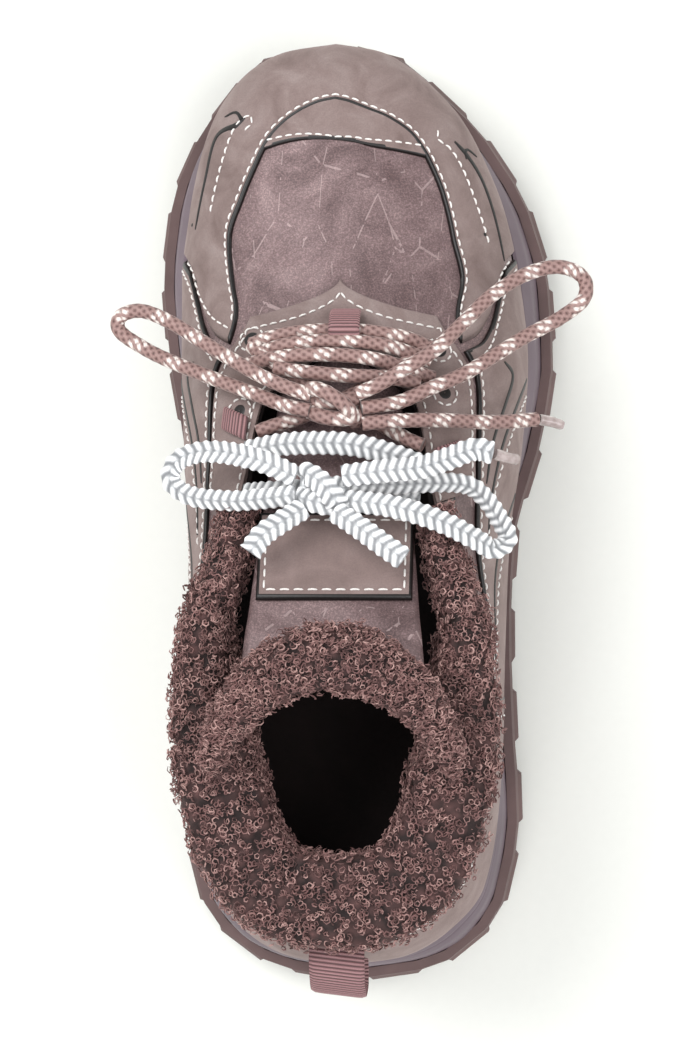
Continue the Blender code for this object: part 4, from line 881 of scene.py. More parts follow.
def make_throat_panel():
    """The half-moon in front of the throat, with the two lace rows behind it."""
    front = np.linspace(1.0, PANEL_LOW + 0.02, 30)
    start = panel_start(front)
    arc = np.stack([start + 0.016, front], axis=-1)
    lower = [(s, PANEL_LOW + 0.035) for s in np.linspace(PANEL_SIDE + 0.022, PANEL_END, 12)]
    upper = [(s, 0.955) for s in np.linspace(THROAT_START + 0.035, PANEL_END, 12)]
    seams = {}
    for side in (-1, 1):
        places = [side * np.array(row) * (1, side) for row in (*arc, *lower)]
        edge = [side * np.array(row) * (1, side) for row in upper]
        seams[side] = [sewn(places, TOP_LIFT + 0.3 * MM), sewn(edge, TOP_LIFT + 0.3 * MM)]
    h = (PANEL_LOW + (1 - PANEL_LOW) * edge_shares(np.array(0.024), 24))[None, :]
    for side, name in ((-1, "throat_panel_inner"), (1, "throat_panel_outer")):
        shares = edge_shares(np.array(0.055), 70)[:, None]
        start = panel_start(h)
        u = side * (start + (PANEL_END - start) * shares)
        made = overlay_piece(name, u, np.broadcast_to(h, u.shape), NUBUCK, ("low", "start"), seams[side],
                             lift=0.0005, mirrored=side > 0, dark=())
        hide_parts("throat_panel")


QUARTER_TOP = 0.605
QUARTER_START = smooth(((0.0, 0.392), (0.22, 0.405), (0.30, 0.432), (0.40, 0.457), (0.52, 0.470), (1.0,
                                                                                                   0.475)), 1)


def make_quarters():
    """The side panels, with hooked slots."""
    for side, name, node in ((-1, "quarter_nubuck_inner", "quarter_inner"), (1, "quarter_nubuck_outer",
                                                                             "quarter_outer")):
        shares = edge_shares(np.array(0.100), 110)[:, None]
        h = (0.015 + (QUARTER_TOP - 0.015) * edge_shares(np.array(0.040), 34))[None, :]
        start = QUARTER_START(h)
        u = side * (start + (0.80 - start) * shares)
        back = 0.78
        flip = np.array((side, 1))
        seams = [
            sewn([flip * p for p in offset_edge(np.linspace(0.49, back, 40), np.full(40, QUARTER_TOP),
                                                2.0 * MM)]),
            sewn([flip * p for p in ((0.405, 0.10), (0.418, 0.22), (0.446, 0.32), (0.472, 0.44), (0.484,
                                                                                                  0.56))]),
            sewn([flip * p for p in ((0.530, 0.10), (0.548, 0.24), (0.578, 0.36), (0.618, 0.46), (0.660,
                                                                                                  0.50))]),
            sewn([flip * p for p in ((0.640, 0.08), (0.662, 0.22), (0.695, 0.36), (0.735, 0.46), (0.775,
                                                                                                  0.50))]),
        ]
        overlay_piece(name, u, np.broadcast_to(h, u.shape), NUBUCK, ("high", "start"), seams,
                      mirrored=side > 0,
                      nodes=(node,), dark=("high", "start"))
        for k, places in enumerate((
            ((0.492, 0.40), (0.508, 0.33), (0.532, 0.40), (0.562, 0.49), (0.600, 0.54)),
            ((0.515, 0.12), (0.535, 0.26), (0.566, 0.39), (0.606, 0.47), (0.650, 0.49)),
            ((0.620, 0.10), (0.646, 0.26), (0.682, 0.40), (0.724, 0.49), (0.772, 0.53)),
        )):
            cut_slot(f"{name}_slot_{k + 1}", [flip * p for p in places], 2.0 * MM, taper=0.3)


def make_heel_counter():
    """The nubuck counter round the heel."""
    outer = edge_shares(np.array(0.080), 90)
    h = (0.015 + (QUARTER_TOP - 0.015) * edge_shares(np.array(0.036), 30))[None, :]
    for side, name in ((-1, "heel_counter_inner"), (1, "heel_counter_outer")):
        u = side * (0.790 + 0.210 * outer)[:, None]
        top = 1 + 0.10 * np.sin(np.pi * (np.abs(u) - 0.79) / 0.42)
        flip = np.array((side, 1))
        us = np.linspace(0.800, 0.999, 40)
        hs = 0.015 + (QUARTER_TOP - 0.015) * (1 + 0.10 * np.sin(np.pi * (us - 0.79) / 0.42))
        seams = [
            sewn([flip * p for p in offset_edge(us, hs, 2.0 * MM)]),
            sewn([flip * p for p in ((0.806, 0.04), (0.806, 0.20), (0.806, 0.40), (0.806, 0.54))]),
        ]
        made = overlay_piece(name, u + 0 * h, h * top, NUBUCK, ("high", "start"), seams, mirrored=side > 0,
                             dark=("high", "start"), lift=OVERLAY_GAP + 0.2 * MM)
        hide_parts("heel_counter")


def make_collar_band():
    """The stitched nubuck edge under the collar's fleece."""
    shares = edge_shares(np.array(0.16), 150)[:, None]
    h = (0.80 + 0.185 * edge_shares(np.array(0.012), 10))[None, :]
    for side, name in ((-1, "collar_band_inner"), (1, "collar_band_outer")):
        u = side * (0.600 + 0.40 * shares)
        flip = np.array((side, 1))
        seams = [sewn([flip * p for p in offset_edge(np.linspace(0.61, 0.998, 60), np.full(60, 0.80),
                                                     -1.9 * MM)])]
        overlay_piece(name, u + 0 * h, h + 0 * u, NUBUCK, ("low", "start"), seams, mirrored=side > 0,
                      dark=("low", "start"))


# Main creases of the vamp: place in mm, run in degrees, length, width and depth in mm
CREASES = (
    (2, 196, 96, 40, 5.0, 0.40),
    (-16, 190, 112, 34, 4.0, 0.30),
    (19, 188, 70, 36, 4.0, 0.35),
    (6, 178, 20, 46, 6.0, 0.45),
    (-10, 172, -14, 40, 5.0, 0.40),
    (24, 176, 52, 26, 4.0, 0.30),
)


def vamp_creases(points):
    """Soft troughs with a ridge at each side."""
    total = np.zeros(points.shape[:-1])
    for x, y, run, length, width, depth in CREASES:
        angle = math.radians(run)
        dx = points[..., 0] / MM - x
        dy = points[..., 1] / MM - y
        along = dx * math.cos(angle) + dy * math.sin(angle)
        across = (-dx * math.sin(angle) + dy * math.cos(angle)) / width
        fade = np.exp(-(2 * along / length) ** 2)
        total += MM * depth * fade * (0.5 * across**2 - 1) * np.exp(-across**2)
    return total


def make_upper():
    """The one wall of brushed leather, with its creases and its lining face."""
    u = np.linspace(-1, 1, 400, endpoint=False)
    h = np.linspace(0, 1, 33)
    nearest = np.argmin(np.abs(u[:, None] - np.array([-THROAT_START, THROAT_START])), axis=0)
    u[nearest] = (-THROAT_START, THROAT_START)
    u = u[:, None]
    h = h[None, :]
    base_points = wall(u, h)
    outer = base_points + wall_normal(u, h) * vamp_creases(base_points)[..., None]
    inner = base_points - wall_normal(u, h) * UPPER_WALL
    rows, columns = outer.shape[:2]
    faces, _ = grid_faces(rows, columns, close_rows=True)
    lining = faces[:, ::-1] + rows * columns
    k = np.arange(rows)
    n = (k + 1) % rows
    low = np.stack([k * columns, n * columns, n * columns + rows * columns, k * columns + rows * columns],
                   axis=-1)
    top = low[:, ::-1] + columns - 1
    open_edge = np.maximum(np.abs(u[k, 0]), np.abs(u[n, 0])) > THROAT_START + 1e-6
    points = np.concatenate([outer.reshape(-1, 3), inner.reshape(-1, 3)])
    pick = np.concatenate([np.zeros(len(faces)), np.ones(len(lining) + len(low) + open_edge.sum())])
    made = mesh_piece("upper_leather", points, [faces, lining, low, top[open_edge]], [BRUSHED, FELT],
                      pick=pick, weld=True, flip=True)
    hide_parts("upper")


def tongue_point(along, across, depth=0.0):
    half = TONGUE["half"](along) * HALF_WIDTH
    x = across * half
    height = ridge_height(along) - TONGUE["drop"](along) * TONGUE_DROP - TONGUE["arch"](along) * x * x / HALF_WIDTH
    normal = unit(stack(2 * TONGUE["arch"](along) * x / HALF_WIDTH, -ridge_slope(along), 1.0))
    return stack(centre_x(along) + x, y_at(along), height) - normal * np.asarray(depth)[..., None]


def tongue_end(across):
    return TONGUE_TOP - TONGUE_DROOP * np.abs(across) ** 2.2


def closed_sheet(name, top, under, surfaces, weld=True, flip=False):
    rows, columns = top.shape[:2]
    points = np.concatenate([top.reshape(-1, 3), under.reshape(-1, 3)])
    faces, _ = grid_faces(rows, columns)
    below = faces[:, ::-1] + rows * columns
    return mesh_piece(name, points, [faces, below], surfaces, weld=weld, flip=flip)


def make_tongue():
    """The tongue's leather face, a little puckered, its edges rolled down to the lining."""
    across = np.linspace(-1, 1, 45)[None, :]
    share = np.linspace(0, 1, 100)[:, None]
    first = tongue_end(across)
    along = first + (TONGUE_FRONT - first) * share
    rim = np.minimum(1 - np.abs(across), 1.0) * TONGUE["half"](along) * HALF_WIDTH
    puff = round_edge(rim, TONGUE_THICKNESS / 2, 2.0 * MM)
    pucker = 0.35 * MM * np.sin(along * 95 + 3 * across) * np.exp(-((along - 0.39) / 0.03) ** 2)
    top = tongue_point(along, across, TONGUE_THICKNESS / 2 - puff - pucker)
    under = tongue_point(along, across, TONGUE_THICKNESS / 2 + puff)
    made = closed_sheet("tongue_leather", top, under, [BRUSHED], flip=True)
    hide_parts("tongue")


def make_label():
    """The bare nubuck patch on the tongue, with painted edges, a dark underside as painted shadow in the gap below
    it, and a seam all round.
    """
    half_shares = edge_shares(np.array(2 * LABEL_HALF_WIDTH), 40)[None, :]
    length = (LABEL_FRONT - LABEL_BACK) * SOLE_LENGTH
    along_shares = edge_shares(np.array(length), 26)[:, None]
    along = LABEL_BACK + (LABEL_FRONT - LABEL_BACK) * along_shares
    half = LABEL_HALF_WIDTH / (TONGUE["half"](along) * HALF_WIDTH)
    across = half * (2 * half_shares - 1)
    edge = np.minimum(
        np.minimum(half_shares, 1 - half_shares) * 2 * LABEL_HALF_WIDTH,
        np.minimum(along_shares, 1 - along_shares) * length,
    )
    height = 0.5 * MM + round_edge(edge, 1.3 * MM, 0.9 * MM)
    inset = 2.6 * MM
    seam = np.exp(-((edge - inset) / (0.8 * MM)) ** 2)
    top = tongue_point(along, across, -(height - 0.22 * MM * seam))
    under = tongue_point(along, across, -0.5 * MM + 0 * height)
    rows, columns = top.shape[:2]
    faces, _ = grid_faces(rows, columns)
    middle = 0.25 * sum(edge.ravel()[faces[:, k]] for k in range(4))
    below = faces[:, ::-1] + rows * columns
    points = np.concatenate([top.reshape(-1, 3), under.reshape(-1, 3)])
    # The rounded rim takes the dark film as painted edges; the whole underside takes it as painted shadow in the
    # gap under the label.
    pick = np.concatenate([(middle < EDGE_STEPS[-1]).astype(int), np.ones(len(below), int)])
    made = mesh_piece("label_nubuck", points, [faces, below], [NUBUCK_LABEL, EDGE], pick=pick,
                      weld=True,
                      flip=True)
    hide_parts("tongue_label")
    x = 1 - inset / LABEL_HALF_WIDTH
    y = inset / length
    corners = ((-x, y), (x, y), (x, 1 - y), (-x, 1 - y), (-x, y))
    for (x0, y0), (x1, y1) in zip(corners, corners[1:]):
        t = np.linspace(0, 1, 30)
        run = LABEL_BACK + (LABEL_FRONT - LABEL_BACK) * (y0 + (y1 - y0) * t)
        wide = LABEL_HALF_WIDTH / (TONGUE["half"](run) * HALF_WIDTH) * (x0 + (x1 - x0) * t)
        line = tongue_point(run, wide, -1.6 * MM)
        normals = unit(tongue_point(run, wide, -1.0) - tongue_point(run, wide))
        stitch(line, normals, 0.0, pitch=3.9 * MM, run=3.2 * MM, radius=0.36 * MM)


# Midsole and its moulded lines


def make_midsole():
    """The foam wedge: a smooth swelling side with a moulded line round the heel."""
    u = np.linspace(-1, 1, 480, endpoint=False)
    s = np.abs(u)
    low_plan = inset_plan(SOLE, u, RIM_THICKNESS + GAP)
    top_plan = inset_plan(UPPER, u, -0.0006)
    along_low, along_top = SOLE["along"](s), UPPER["along"](s)
    top = feather_height(along_top) - GAP
    bottom = base(along_low) + OUTSOLE_THICKNESS + GAP
    rim = rim_top(along_low) + MIDSOLE_STEP
    rows = ((0.0, bottom), (0.0, rim), (0.28, rim_top(along_low) * 0.35 + top * 0.65), (0.80,
                                                                                        top - 0.9 * MM), (1.0, top))
    rings = []
    for share, height in rows:
        flat = low_plan * (1 - share) + top_plan * share
        rings.append(stack(flat[:, 0], flat[:, 1], height))
    rings = np.array(rings)
    t = np.array([0, 0.05, 0.3, 0.65, 1.0])
    fine = np.concatenate([[0.0, 0.03], np.linspace(0.05, 1.0, 44)])
    weights = []
    for value in fine:
        k = min(int(np.searchsorted(t, value, side="right")) - 1, 3)
        part = (value - t[k]) / (t[k + 1] - t[k])
        weights.append((k, part))
    section = np.array([rings[k] * (1 - p) + rings[k + 1] * p for k, p in weights])
    for _ in range(3):
        section[3:-1] = 0.25 * section[2:-2] + 0.5 * section[3:-1] + 0.25 * section[4:]
    ahead = np.roll(section, -1, axis=1) - np.roll(section, 1, axis=1)
    climb = np.gradient(section, axis=0)
    normal = unit(np.cross(climb, ahead))
    heel = np.clip((s - 0.80) / 0.03, 0, 1)[None, :]
    level = 0.46 + 0.10 * np.cos(np.pi * (s - 0.8) / 0.4)[None, :]
    groove = np.exp(-((fine[:, None] - level) / 0.022) ** 2) * heel
    panel = 0.5 * (1 + np.tanh((fine[:, None] - level) / 0.03)) * heel * np.clip((0.98 - fine[:,
                                                                                              None]) / 0.1, 0, 1)
    section = section + normal * (0.45 * MM * panel - 0.5 * MM * groove)[..., None]
    points = section.transpose(1, 0, 2)
    faces, _ = grid_faces(len(u), len(fine), close_rows=True)
    columns = len(fine)
    caps = []
    half = len(u) // 2
    for layer, turn in ((0, 1), (columns - 1, -1)):
        cap = []
        for i in range(1, half - 0):
            a, b = i, (i + 1) % len(u)
            c, d = (len(u) - i - 1) % len(u), (len(u) - i) % len(u)
            if len({a, b, c, d}) == 4:
                cap.append([a * columns + layer, b * columns + layer, c * columns + layer,
                            d * columns + layer][::turn])
        caps.append(np.array(cap))
    made = mesh_piece("midsole_foam", points, [faces, *caps], [EVA], flip=True)
    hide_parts("midsole")


# Laces


def sweep(path, ring):
    """Points of a strand: ring(v, angle) gives how far out it lies across and up at each place of its path."""
    far = np.concatenate([[0], np.cumsum(np.linalg.norm(np.diff(path, axis=0), axis=1))])
    ahead = unit(np.gradient(path, axis=0))
    side = unit(np.cross(ahead, np.array([0.0, 0.0, 1.0])))
    up = unit(np.cross(side, ahead))
    across, high, height, mark = ring(far)
    points = path[:, None, :] + side[:, None, :] * across[..., None] + up[:, None, :] * high[..., None]
    return points, height, mark


def strand_piece(name, path, ring, surface, sides):
    points, height, mark = sweep(path, ring)
    rows = len(path)
    faces, _ = grid_faces(rows, sides, close_columns=True)
    hubs = np.array([path[0], path[-1]])
    k = np.arange(sides)
    n = (k + 1) % sides
    first = np.stack([np.full(sides, rows * sides), n, k], axis=-1)
    last = np.stack([np.full(sides, rows * sides + 1), (rows - 1) * sides + k, (rows - 1) * sides + n],
                    axis=-1)
    points = np.concatenate([points.reshape(-1, 3), hubs])
    marks = {
        "height": np.concatenate([height.ravel(), [0.2, 0.2]]),
        "mark": np.concatenate([mark.ravel(), [0.0, 0.0]]),
    }
    return mesh_piece(name, points, [faces, first, last], [surface], marks=marks, flip=True)


ROUND_LACE = 4.4 * MM
ROUND_SIDES = 26
ROUND_STEP = 0.5 * MM
FLECK_PITCH = 13.6 * MM


def round_ring(start=0.0, thick=1.0):
    """A round braid: crossing yarns in relief, with pairs of pale flecks."""
    turn = np.linspace(0, 2 * np.pi, ROUND_SIDES, endpoint=False)[None, :]

    def ring(far):
        v = (far + start)[:, None]
        lay = 2 * np.pi * v / (3.1 * MM)
        one = np.cos(6 * turn + lay)
        two = np.cos(6 * turn - lay)
        # height is the yarns' relief; from it the braid material paints shade in the grooves and a highlight on the
        # crests.
        height = np.maximum(one, two) * 0.5 + 0.5
        radius = thick * ROUND_LACE / 2 * (0.955 + 0.07 * height)
        place = np.mod(v + 2.2 * MM * np.sin(turn + 0.6), FLECK_PITCH) / FLECK_PITCH
        pair = np.minimum(np.abs(place - 0.40), np.abs(place - 0.60)) * FLECK_PITCH
        slant = np.cos(5 * turn + 2 * np.pi * v / (4.0 * MM))
        mark = np.clip(1.8 - pair / (0.75 * MM), 0, 1) * np.clip(slant * 3 + 0.4, 0, 1)
        return radius * np.cos(turn), radius * np.sin(turn), height, mark

    return ring


FLAT_WIDTH = 6.6 * MM
FLAT_THICKNESS = 1.9 * MM
FLAT_SIDES = 28
FLAT_STEP = 0.35 * MM


def flat_ring(start=0.0, twist=None):
    """A flat braid: plaited chevrons either side of the middle, and scalloped edges."""
    turn = np.linspace(0, 2 * np.pi, FLAT_SIDES, endpoint=False)[None, :]

    def ring(far):
        v = (far + start)[:, None]
        pitch = 2.9 * MM
        edge = np.cos(turn)
        flat = np.sign(edge) * np.abs(edge) ** 0.75
        thick = np.sign(np.sin(turn)) * np.abs(np.sin(turn)) ** 0.75
        chevron = 2 * np.pi * (v / pitch - np.abs(flat) * 0.62)
        # height is the plait's relief; from it the braid material paints shade in the grooves and a highlight on
        # the crests.
        height = (0.5 + 0.5 * np.cos(chevron)) * (0.35 + 0.65 * np.clip(np.abs(flat) * 5, 0, 1))
        scallop = 1 + 0.07 * np.cos(2 * np.pi * v / pitch - 1.2 * np.pi)
        x = flat * FLAT_WIDTH / 2 * scallop * (1 + 0.06 * np.sin(v / (17 * MM)))
        z = thick * FLAT_THICKNESS / 2 * (0.72 + 0.5 * height)
        angle = 0.0 if twist is None else twist(far)[:, None]
        return x * np.cos(angle) - z * np.sin(angle), x * np.sin(angle) + z * np.cos(angle), height, 0 * height

    return ring


# Lace routes, as in the part
ROUND_ROW = (
    (-0.026, 0.156, 0.0955), (-0.018, 0.1585, 0.0985), (-0.006, 0.1600, 0.1000),
    (0.008, 0.1600, 0.1000), (0.021, 0.1580, 0.0985), (0.029, 0.155, 0.0965),
)
ROUND_CROSS_LEFT = (
    (-0.026, 0.1555, 0.0960), (-0.018, 0.1500, 0.1020), (-0.008, 0.1440, 0.1045),
    (0.001, 0.1385, 0.1055), (0.012, 0.1325, 0.1062), (0.022, 0.1270, 0.1066), (0.0272, 0.1248, 0.1078),
)
ROUND_CROSS_RIGHT = (
    (0.029, 0.1548, 0.0970), (0.020, 0.1490, 0.1025), (0.010, 0.1430, 0.1045),
    (0.001, 0.1380, 0.1055), (-0.010, 0.1335, 0.1060), (-0.018, 0.1310, 0.1060), (-0.0235, 0.1290, 0.1060),
)
ROUND_ARCS = (
    ((-0.0245, 0.1530, 0.0975), (-0.0140, 0.1558, 0.1025), (0.000, 0.1568, 0.1040), (0.0150, 0.1555, 0.1030),
     (0.0290, 0.1510, 0.0985)),
    ((-0.0265, 0.1500, 0.0975), (-0.0155, 0.1520, 0.1045), (-0.001, 0.1525, 0.1068), (0.0140, 0.1508, 0.1055),
     (0.0300, 0.1455, 0.0995)),
    ((-0.0180, 0.1485, 0.1050), (-0.0070, 0.1470, 0.1085), (0.0050, 0.1460, 0.1090), (0.0160, 0.1455, 0.1070),
     (0.0260, 0.1440, 0.1040)),
)
ROUND_LOOP_LEFT = (
    (-0.0063, 0.1400, 0.1130), (-0.014, 0.1425, 0.1120), (-0.022, 0.1460, 0.1095), (-0.031, 0.1510, 0.1050),
    (-0.041, 0.1570, 0.1000), (-0.051, 0.1630, 0.0955), (-0.060, 0.1665, 0.0925), (-0.0665, 0.1650, 0.0905),
    (-0.067, 0.1605, 0.0900), (-0.060, 0.1555, 0.0915), (-0.051, 0.1510, 0.0945), (-0.036, 0.1450, 0.1010),
    (-0.022, 0.1398, 0.1075), (-0.014, 0.1368, 0.1110), (-0.0066, 0.1353, 0.1130),
)
ROUND_LOOP_RIGHT = (
    (0.0075, 0.1404, 0.1138), (0.014, 0.1432, 0.1140), (0.021, 0.1475, 0.1125), (0.031, 0.1540, 0.1080),
    (0.039, 0.1620, 0.1020), (0.048, 0.1710, 0.0955), (0.058, 0.1775, 0.0900), (0.068, 0.1800, 0.0870),
    (0.0755, 0.1770, 0.0855), (0.076, 0.1705, 0.0855), (0.069, 0.1645, 0.0870), (0.059, 0.1590, 0.0905),
    (0.051, 0.1540, 0.0945), (0.040, 0.1470, 0.1010), (0.030, 0.1425, 0.1060), (0.020, 0.1380, 0.1100),
    (0.0086, 0.1361, 0.1126),
)
ROUND_END = (
    (0.0090, 0.1314, 0.1135), (0.019, 0.1322, 0.1130), (0.032, 0.1325, 0.1090),
    (0.048, 0.1320, 0.1000), (0.0615, 0.1330, 0.0925),
)
ROUND_AGLET = ((0.0622, 0.1330, 0.0921), (0.0660, 0.1323, 0.0902), (0.0695, 0.1312, 0.0887))
ROUND_KNOT_STRANDS = (
    ((-0.0072, 0.1412, 0.1108), (-0.0055, 0.1420, 0.1145), (-0.0012, 0.1405, 0.1172), (0.0035, 0.1372,
                                                                                       0.1172),
     (0.0062, 0.1338, 0.1142), (0.0066, 0.1320, 0.1105)),
    ((-0.0068, 0.1350, 0.1112), (-0.0030, 0.1335, 0.1145), (0.0030, 0.1328, 0.1148), (0.0080, 0.1335,
                                                                                      0.1125)),
    ((-0.0060, 0.1385, 0.1105), (0.000, 0.1378, 0.1122), (0.0075, 0.1392, 0.1110)),
)
FLAT_ROW = (
    (-0.0265, 0.1230, 0.1092), (-0.016, 0.1250, 0.1130), (-0.006, 0.1255, 0.1150), (0.006, 0.1250, 0.1150),
    (0.018, 0.1220, 0.1135), (0.0290, 0.1180, 0.1110),
)
FLAT_TOP_BAR = (
    (-0.0270, 0.1100, 0.1090), (-0.018, 0.1105, 0.1158), (-0.003, 0.1110, 0.1187),
    (0.015, 0.1100, 0.1176), (0.0262, 0.1085, 0.1116),
)
FLAT_LOOP_LEFT = (
    (-0.0104, 0.1153, 0.1268), (-0.021, 0.1200, 0.1250), (-0.032, 0.1225, 0.1205), (-0.041, 0.1225, 0.1170),
    (-0.0475, 0.1195, 0.1140), (-0.0490, 0.1140, 0.1135), (-0.0430, 0.1095, 0.1155), (-0.031, 0.1080, 0.1200),
    (-0.021, 0.1085, 0.1235), (-0.0104, 0.1096, 0.1264),
)
FLAT_LOOP_RIGHT = (
    (0.0043, 0.1080, 0.1269), (0.0170, 0.1065, 0.1285), (0.0270, 0.1040, 0.1285), (0.0360, 0.1005, 0.1270),
    (0.0435, 0.0965, 0.1240), (0.0490, 0.0935, 0.1190), (0.0530, 0.0965, 0.1140), (0.0505, 0.1025, 0.1105),
    (0.0455, 0.1095, 0.1085), (0.0400, 0.1130, 0.1110), (0.0300, 0.1135, 0.1160), (0.0180, 0.1130, 0.1205),
    (0.0062, 0.1130, 0.1248),
)
FLAT_END_RIGHT = (
    (0.0036, 0.1154, 0.1284), (0.0170, 0.1170, 0.1275), (0.0270, 0.1180, 0.1240), (0.0350, 0.1205, 0.1200),
    (0.0430, 0.1235, 0.1165), (0.0485, 0.1225, 0.1140),
)
FLAT_AGLET = ((0.0491, 0.1222, 0.1136), (0.0530, 0.1210, 0.1110), (0.0560, 0.1205, 0.1085))
FLAT_TAILS = {
    "flat_lace_end_inner": (
        (-0.0077, 0.1058, 0.1280), (-0.0145, 0.1015, 0.1315), (-0.0200, 0.0975, 0.1330), (-0.0235, 0.0925,
                                                                                          0.1340),
    ),
    "flat_lace_end_middle": (
        (0.0014, 0.1049, 0.1291), (0.0090, 0.1000, 0.1320), (0.0160, 0.0950, 0.1340), (0.0225, 0.0905,
                                                                                       0.1350),
    ),
}
FLAT_KNOT_STRANDS = (
    ((-0.0080, 0.1150, 0.1235), (-0.0065, 0.1160, 0.1285), (-0.0020, 0.1130, 0.1312), (0.0015, 0.1085,
                                                                                       0.1308),
     (0.0030, 0.1055, 0.1262)),
    ((-0.0100, 0.1090, 0.1250), (-0.0050, 0.1078, 0.1282), (0.0005, 0.1068, 0.1280), (0.0050, 0.1075,
                                                                                      0.1255)),
    ((-0.0090, 0.1125, 0.1248), (-0.0020, 0.1120, 0.1268), (0.0055, 0.1118, 0.1255)),
)


def aglet(name, route, diameter, node):
    """A tube of clear film, a little narrower at its tip."""
    path = spline(route, 0.6 * MM)
    turn = np.linspace(0, 2 * np.pi, 20, endpoint=False)[None, :]

    def ring(far):
        t = (far / far[-1])[:, None]
        radius = diameter / 2 * (1.02 - 0.12 * t) * np.where(t > 0.97, 0.8, 1.0) * np.where(t < 0.03, 0.9,
                                                                                            1.0)
        return radius * np.cos(turn), radius * np.sin(turn), 0.5 + 0 * radius * turn, 0 * radius * turn

    made = strand_piece(name, path, ring, FILM, 20)
    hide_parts(node)
    return made


def free_cord(name, route, spacing, ring, surface, sides, node):
    path = spline(route, spacing)
    made = strand_piece(name, path, ring, surface, sides)
    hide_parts(node)
    return made


def make_round_lace():
    """The round lace: rows through the throat, a knot, two loops and an end."""
    bars = [ROUND_ROW, ROUND_CROSS_LEFT, ROUND_CROSS_RIGHT, *ROUND_ARCS]
    for k, route in enumerate(bars):
        made = strand_piece(f"round_lace_row_{k + 1}", spline(route, ROUND_STEP), round_ring(k * 5 * MM),
                            ROUND_BRAID,
                            ROUND_SIDES)
        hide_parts("round_lace_bars")
    for k, route in enumerate(ROUND_KNOT_STRANDS):
        made = strand_piece(f"round_lace_tie_{k + 1}", spline(route, ROUND_STEP), round_ring(k * 7 * MM,
                                                                                             1.05),
                            ROUND_BRAID, ROUND_SIDES)
        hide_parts("round_lace_knot")
    for name, route, node in (
        ("round_lace_bow_inner", ROUND_LOOP_LEFT, "round_lace_loop_inner"),
        ("round_lace_bow_outer", ROUND_LOOP_RIGHT, "round_lace_loop_outer"),
    ):
        free_cord(name, route, ROUND_STEP, round_ring(3 * MM), ROUND_BRAID, ROUND_SIDES,
                  node)
    tip = aglet("round_aglet", ROUND_AGLET, 3.4 * MM, "round_lace_aglet")
    free_cord("round_lace_tail", ROUND_END, ROUND_STEP, round_ring(8 * MM), ROUND_BRAID, ROUND_SIDES,
              "round_lace_end")


def make_flat_lace():
    """The flat lace: two rows, a knot, two loops, an end with its film tip and two short tails."""
    for name, route, node in (
        ("flat_lace_row_front", FLAT_ROW, "flat_lace_bar"),
        ("flat_lace_row_back", FLAT_TOP_BAR, "flat_lace_top_bar"),
    ):
        made = strand_piece(name, spline(route, FLAT_STEP), flat_ring(), FLAT_BRAID, FLAT_SIDES)
        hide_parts(node)
    for k, route in enumerate(FLAT_KNOT_STRANDS):
        made = strand_piece(f"flat_lace_tie_{k + 1}", spline(route, FLAT_STEP), flat_ring(k * MM),
                            FLAT_BRAID,
                            FLAT_SIDES)
        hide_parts("flat_lace_knot")

    def roll(low, high):
        return lambda far: low + (high - low) * np.sin(np.pi * far / far[-1])

    for name, route, node, twist in (
        ("flat_lace_bow_inner", FLAT_LOOP_LEFT, "flat_lace_loop_inner", roll(0.2, -0.5)),
        ("flat_lace_bow_outer", FLAT_LOOP_RIGHT, "flat_lace_loop_outer", roll(0.1, 0.5)),
    ):
        free_cord(name, route, FLAT_STEP, flat_ring(0.0, twist), FLAT_BRAID, FLAT_SIDES,
                  node)
    tip = aglet("flat_aglet", FLAT_AGLET, 3.6 * MM, "flat_lace_aglet")
    free_cord("flat_lace_tail", FLAT_END_RIGHT, FLAT_STEP, flat_ring(), FLAT_BRAID, FLAT_SIDES,
              "flat_lace_end_outer")
    for node, route in FLAT_TAILS.items():
        made = strand_piece(node + "_braid", spline(route, FLAT_STEP), flat_ring(), FLAT_BRAID,
                            FLAT_SIDES)
        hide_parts(node)


# Tapes


def tape_piece(name, route, width, across, node):
    """Woven tape with ribs across it, folded along its route."""
    path = spline(route, 0.22 * MM)
    far = np.concatenate([[0], np.cumsum(np.linalg.norm(np.diff(path, axis=0), axis=1))])
    side = unit(np.array(across, float))
    ahead = unit(np.gradient(path, axis=0))
    normal = unit(np.cross(side, ahead))
    rib = 0.5 + 0.5 * np.cos(2 * np.pi * far / (1.25 * MM))
    shares = np.linspace(-1, 1, 15)
    thin = TAPE_THICKNESS / 2 * np.sqrt(np.maximum(0, 1 - np.abs(shares) ** 8)) + 0.05 * MM
    tops, bottoms = [], []
    for share, thick in zip(shares, thin):
        lift = (thick + 0.30 * MM * rib - 0.2 * MM)[:, None]
        tops.append(path + side * share * width / 2 + normal * lift)
        bottoms.append(path + side * share * width / 2 - normal * lift)
    ring = np.array(tops + bottoms[::-1]).transpose(1, 0, 2)
    rows, sides = ring.shape[:2]
    faces, _ = grid_faces(rows, sides, close_columns=True)
    # The ribs' height, which the tape's material turns into painted shade between the ribs and a painted highlight
    # on them.
    height = np.repeat(rib, sides)
    made = mesh_piece(name, ring, [faces], [RIBBED], marks={"height": height,
                                                                           "mark": 0 * height})
    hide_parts(node)
    return made


PULL_TOP = 0.90
PULL_LOW = 0.56
PULL_REACH = 0.0165
FRONT_LOOP = (
    (0.003, 0.1662, 0.0942), (0.003, 0.1642, 0.1000), (0.003, 0.1600, 0.1048),
    (0.003, 0.1560, 0.1008), (0.003, 0.1556, 0.0985),
)


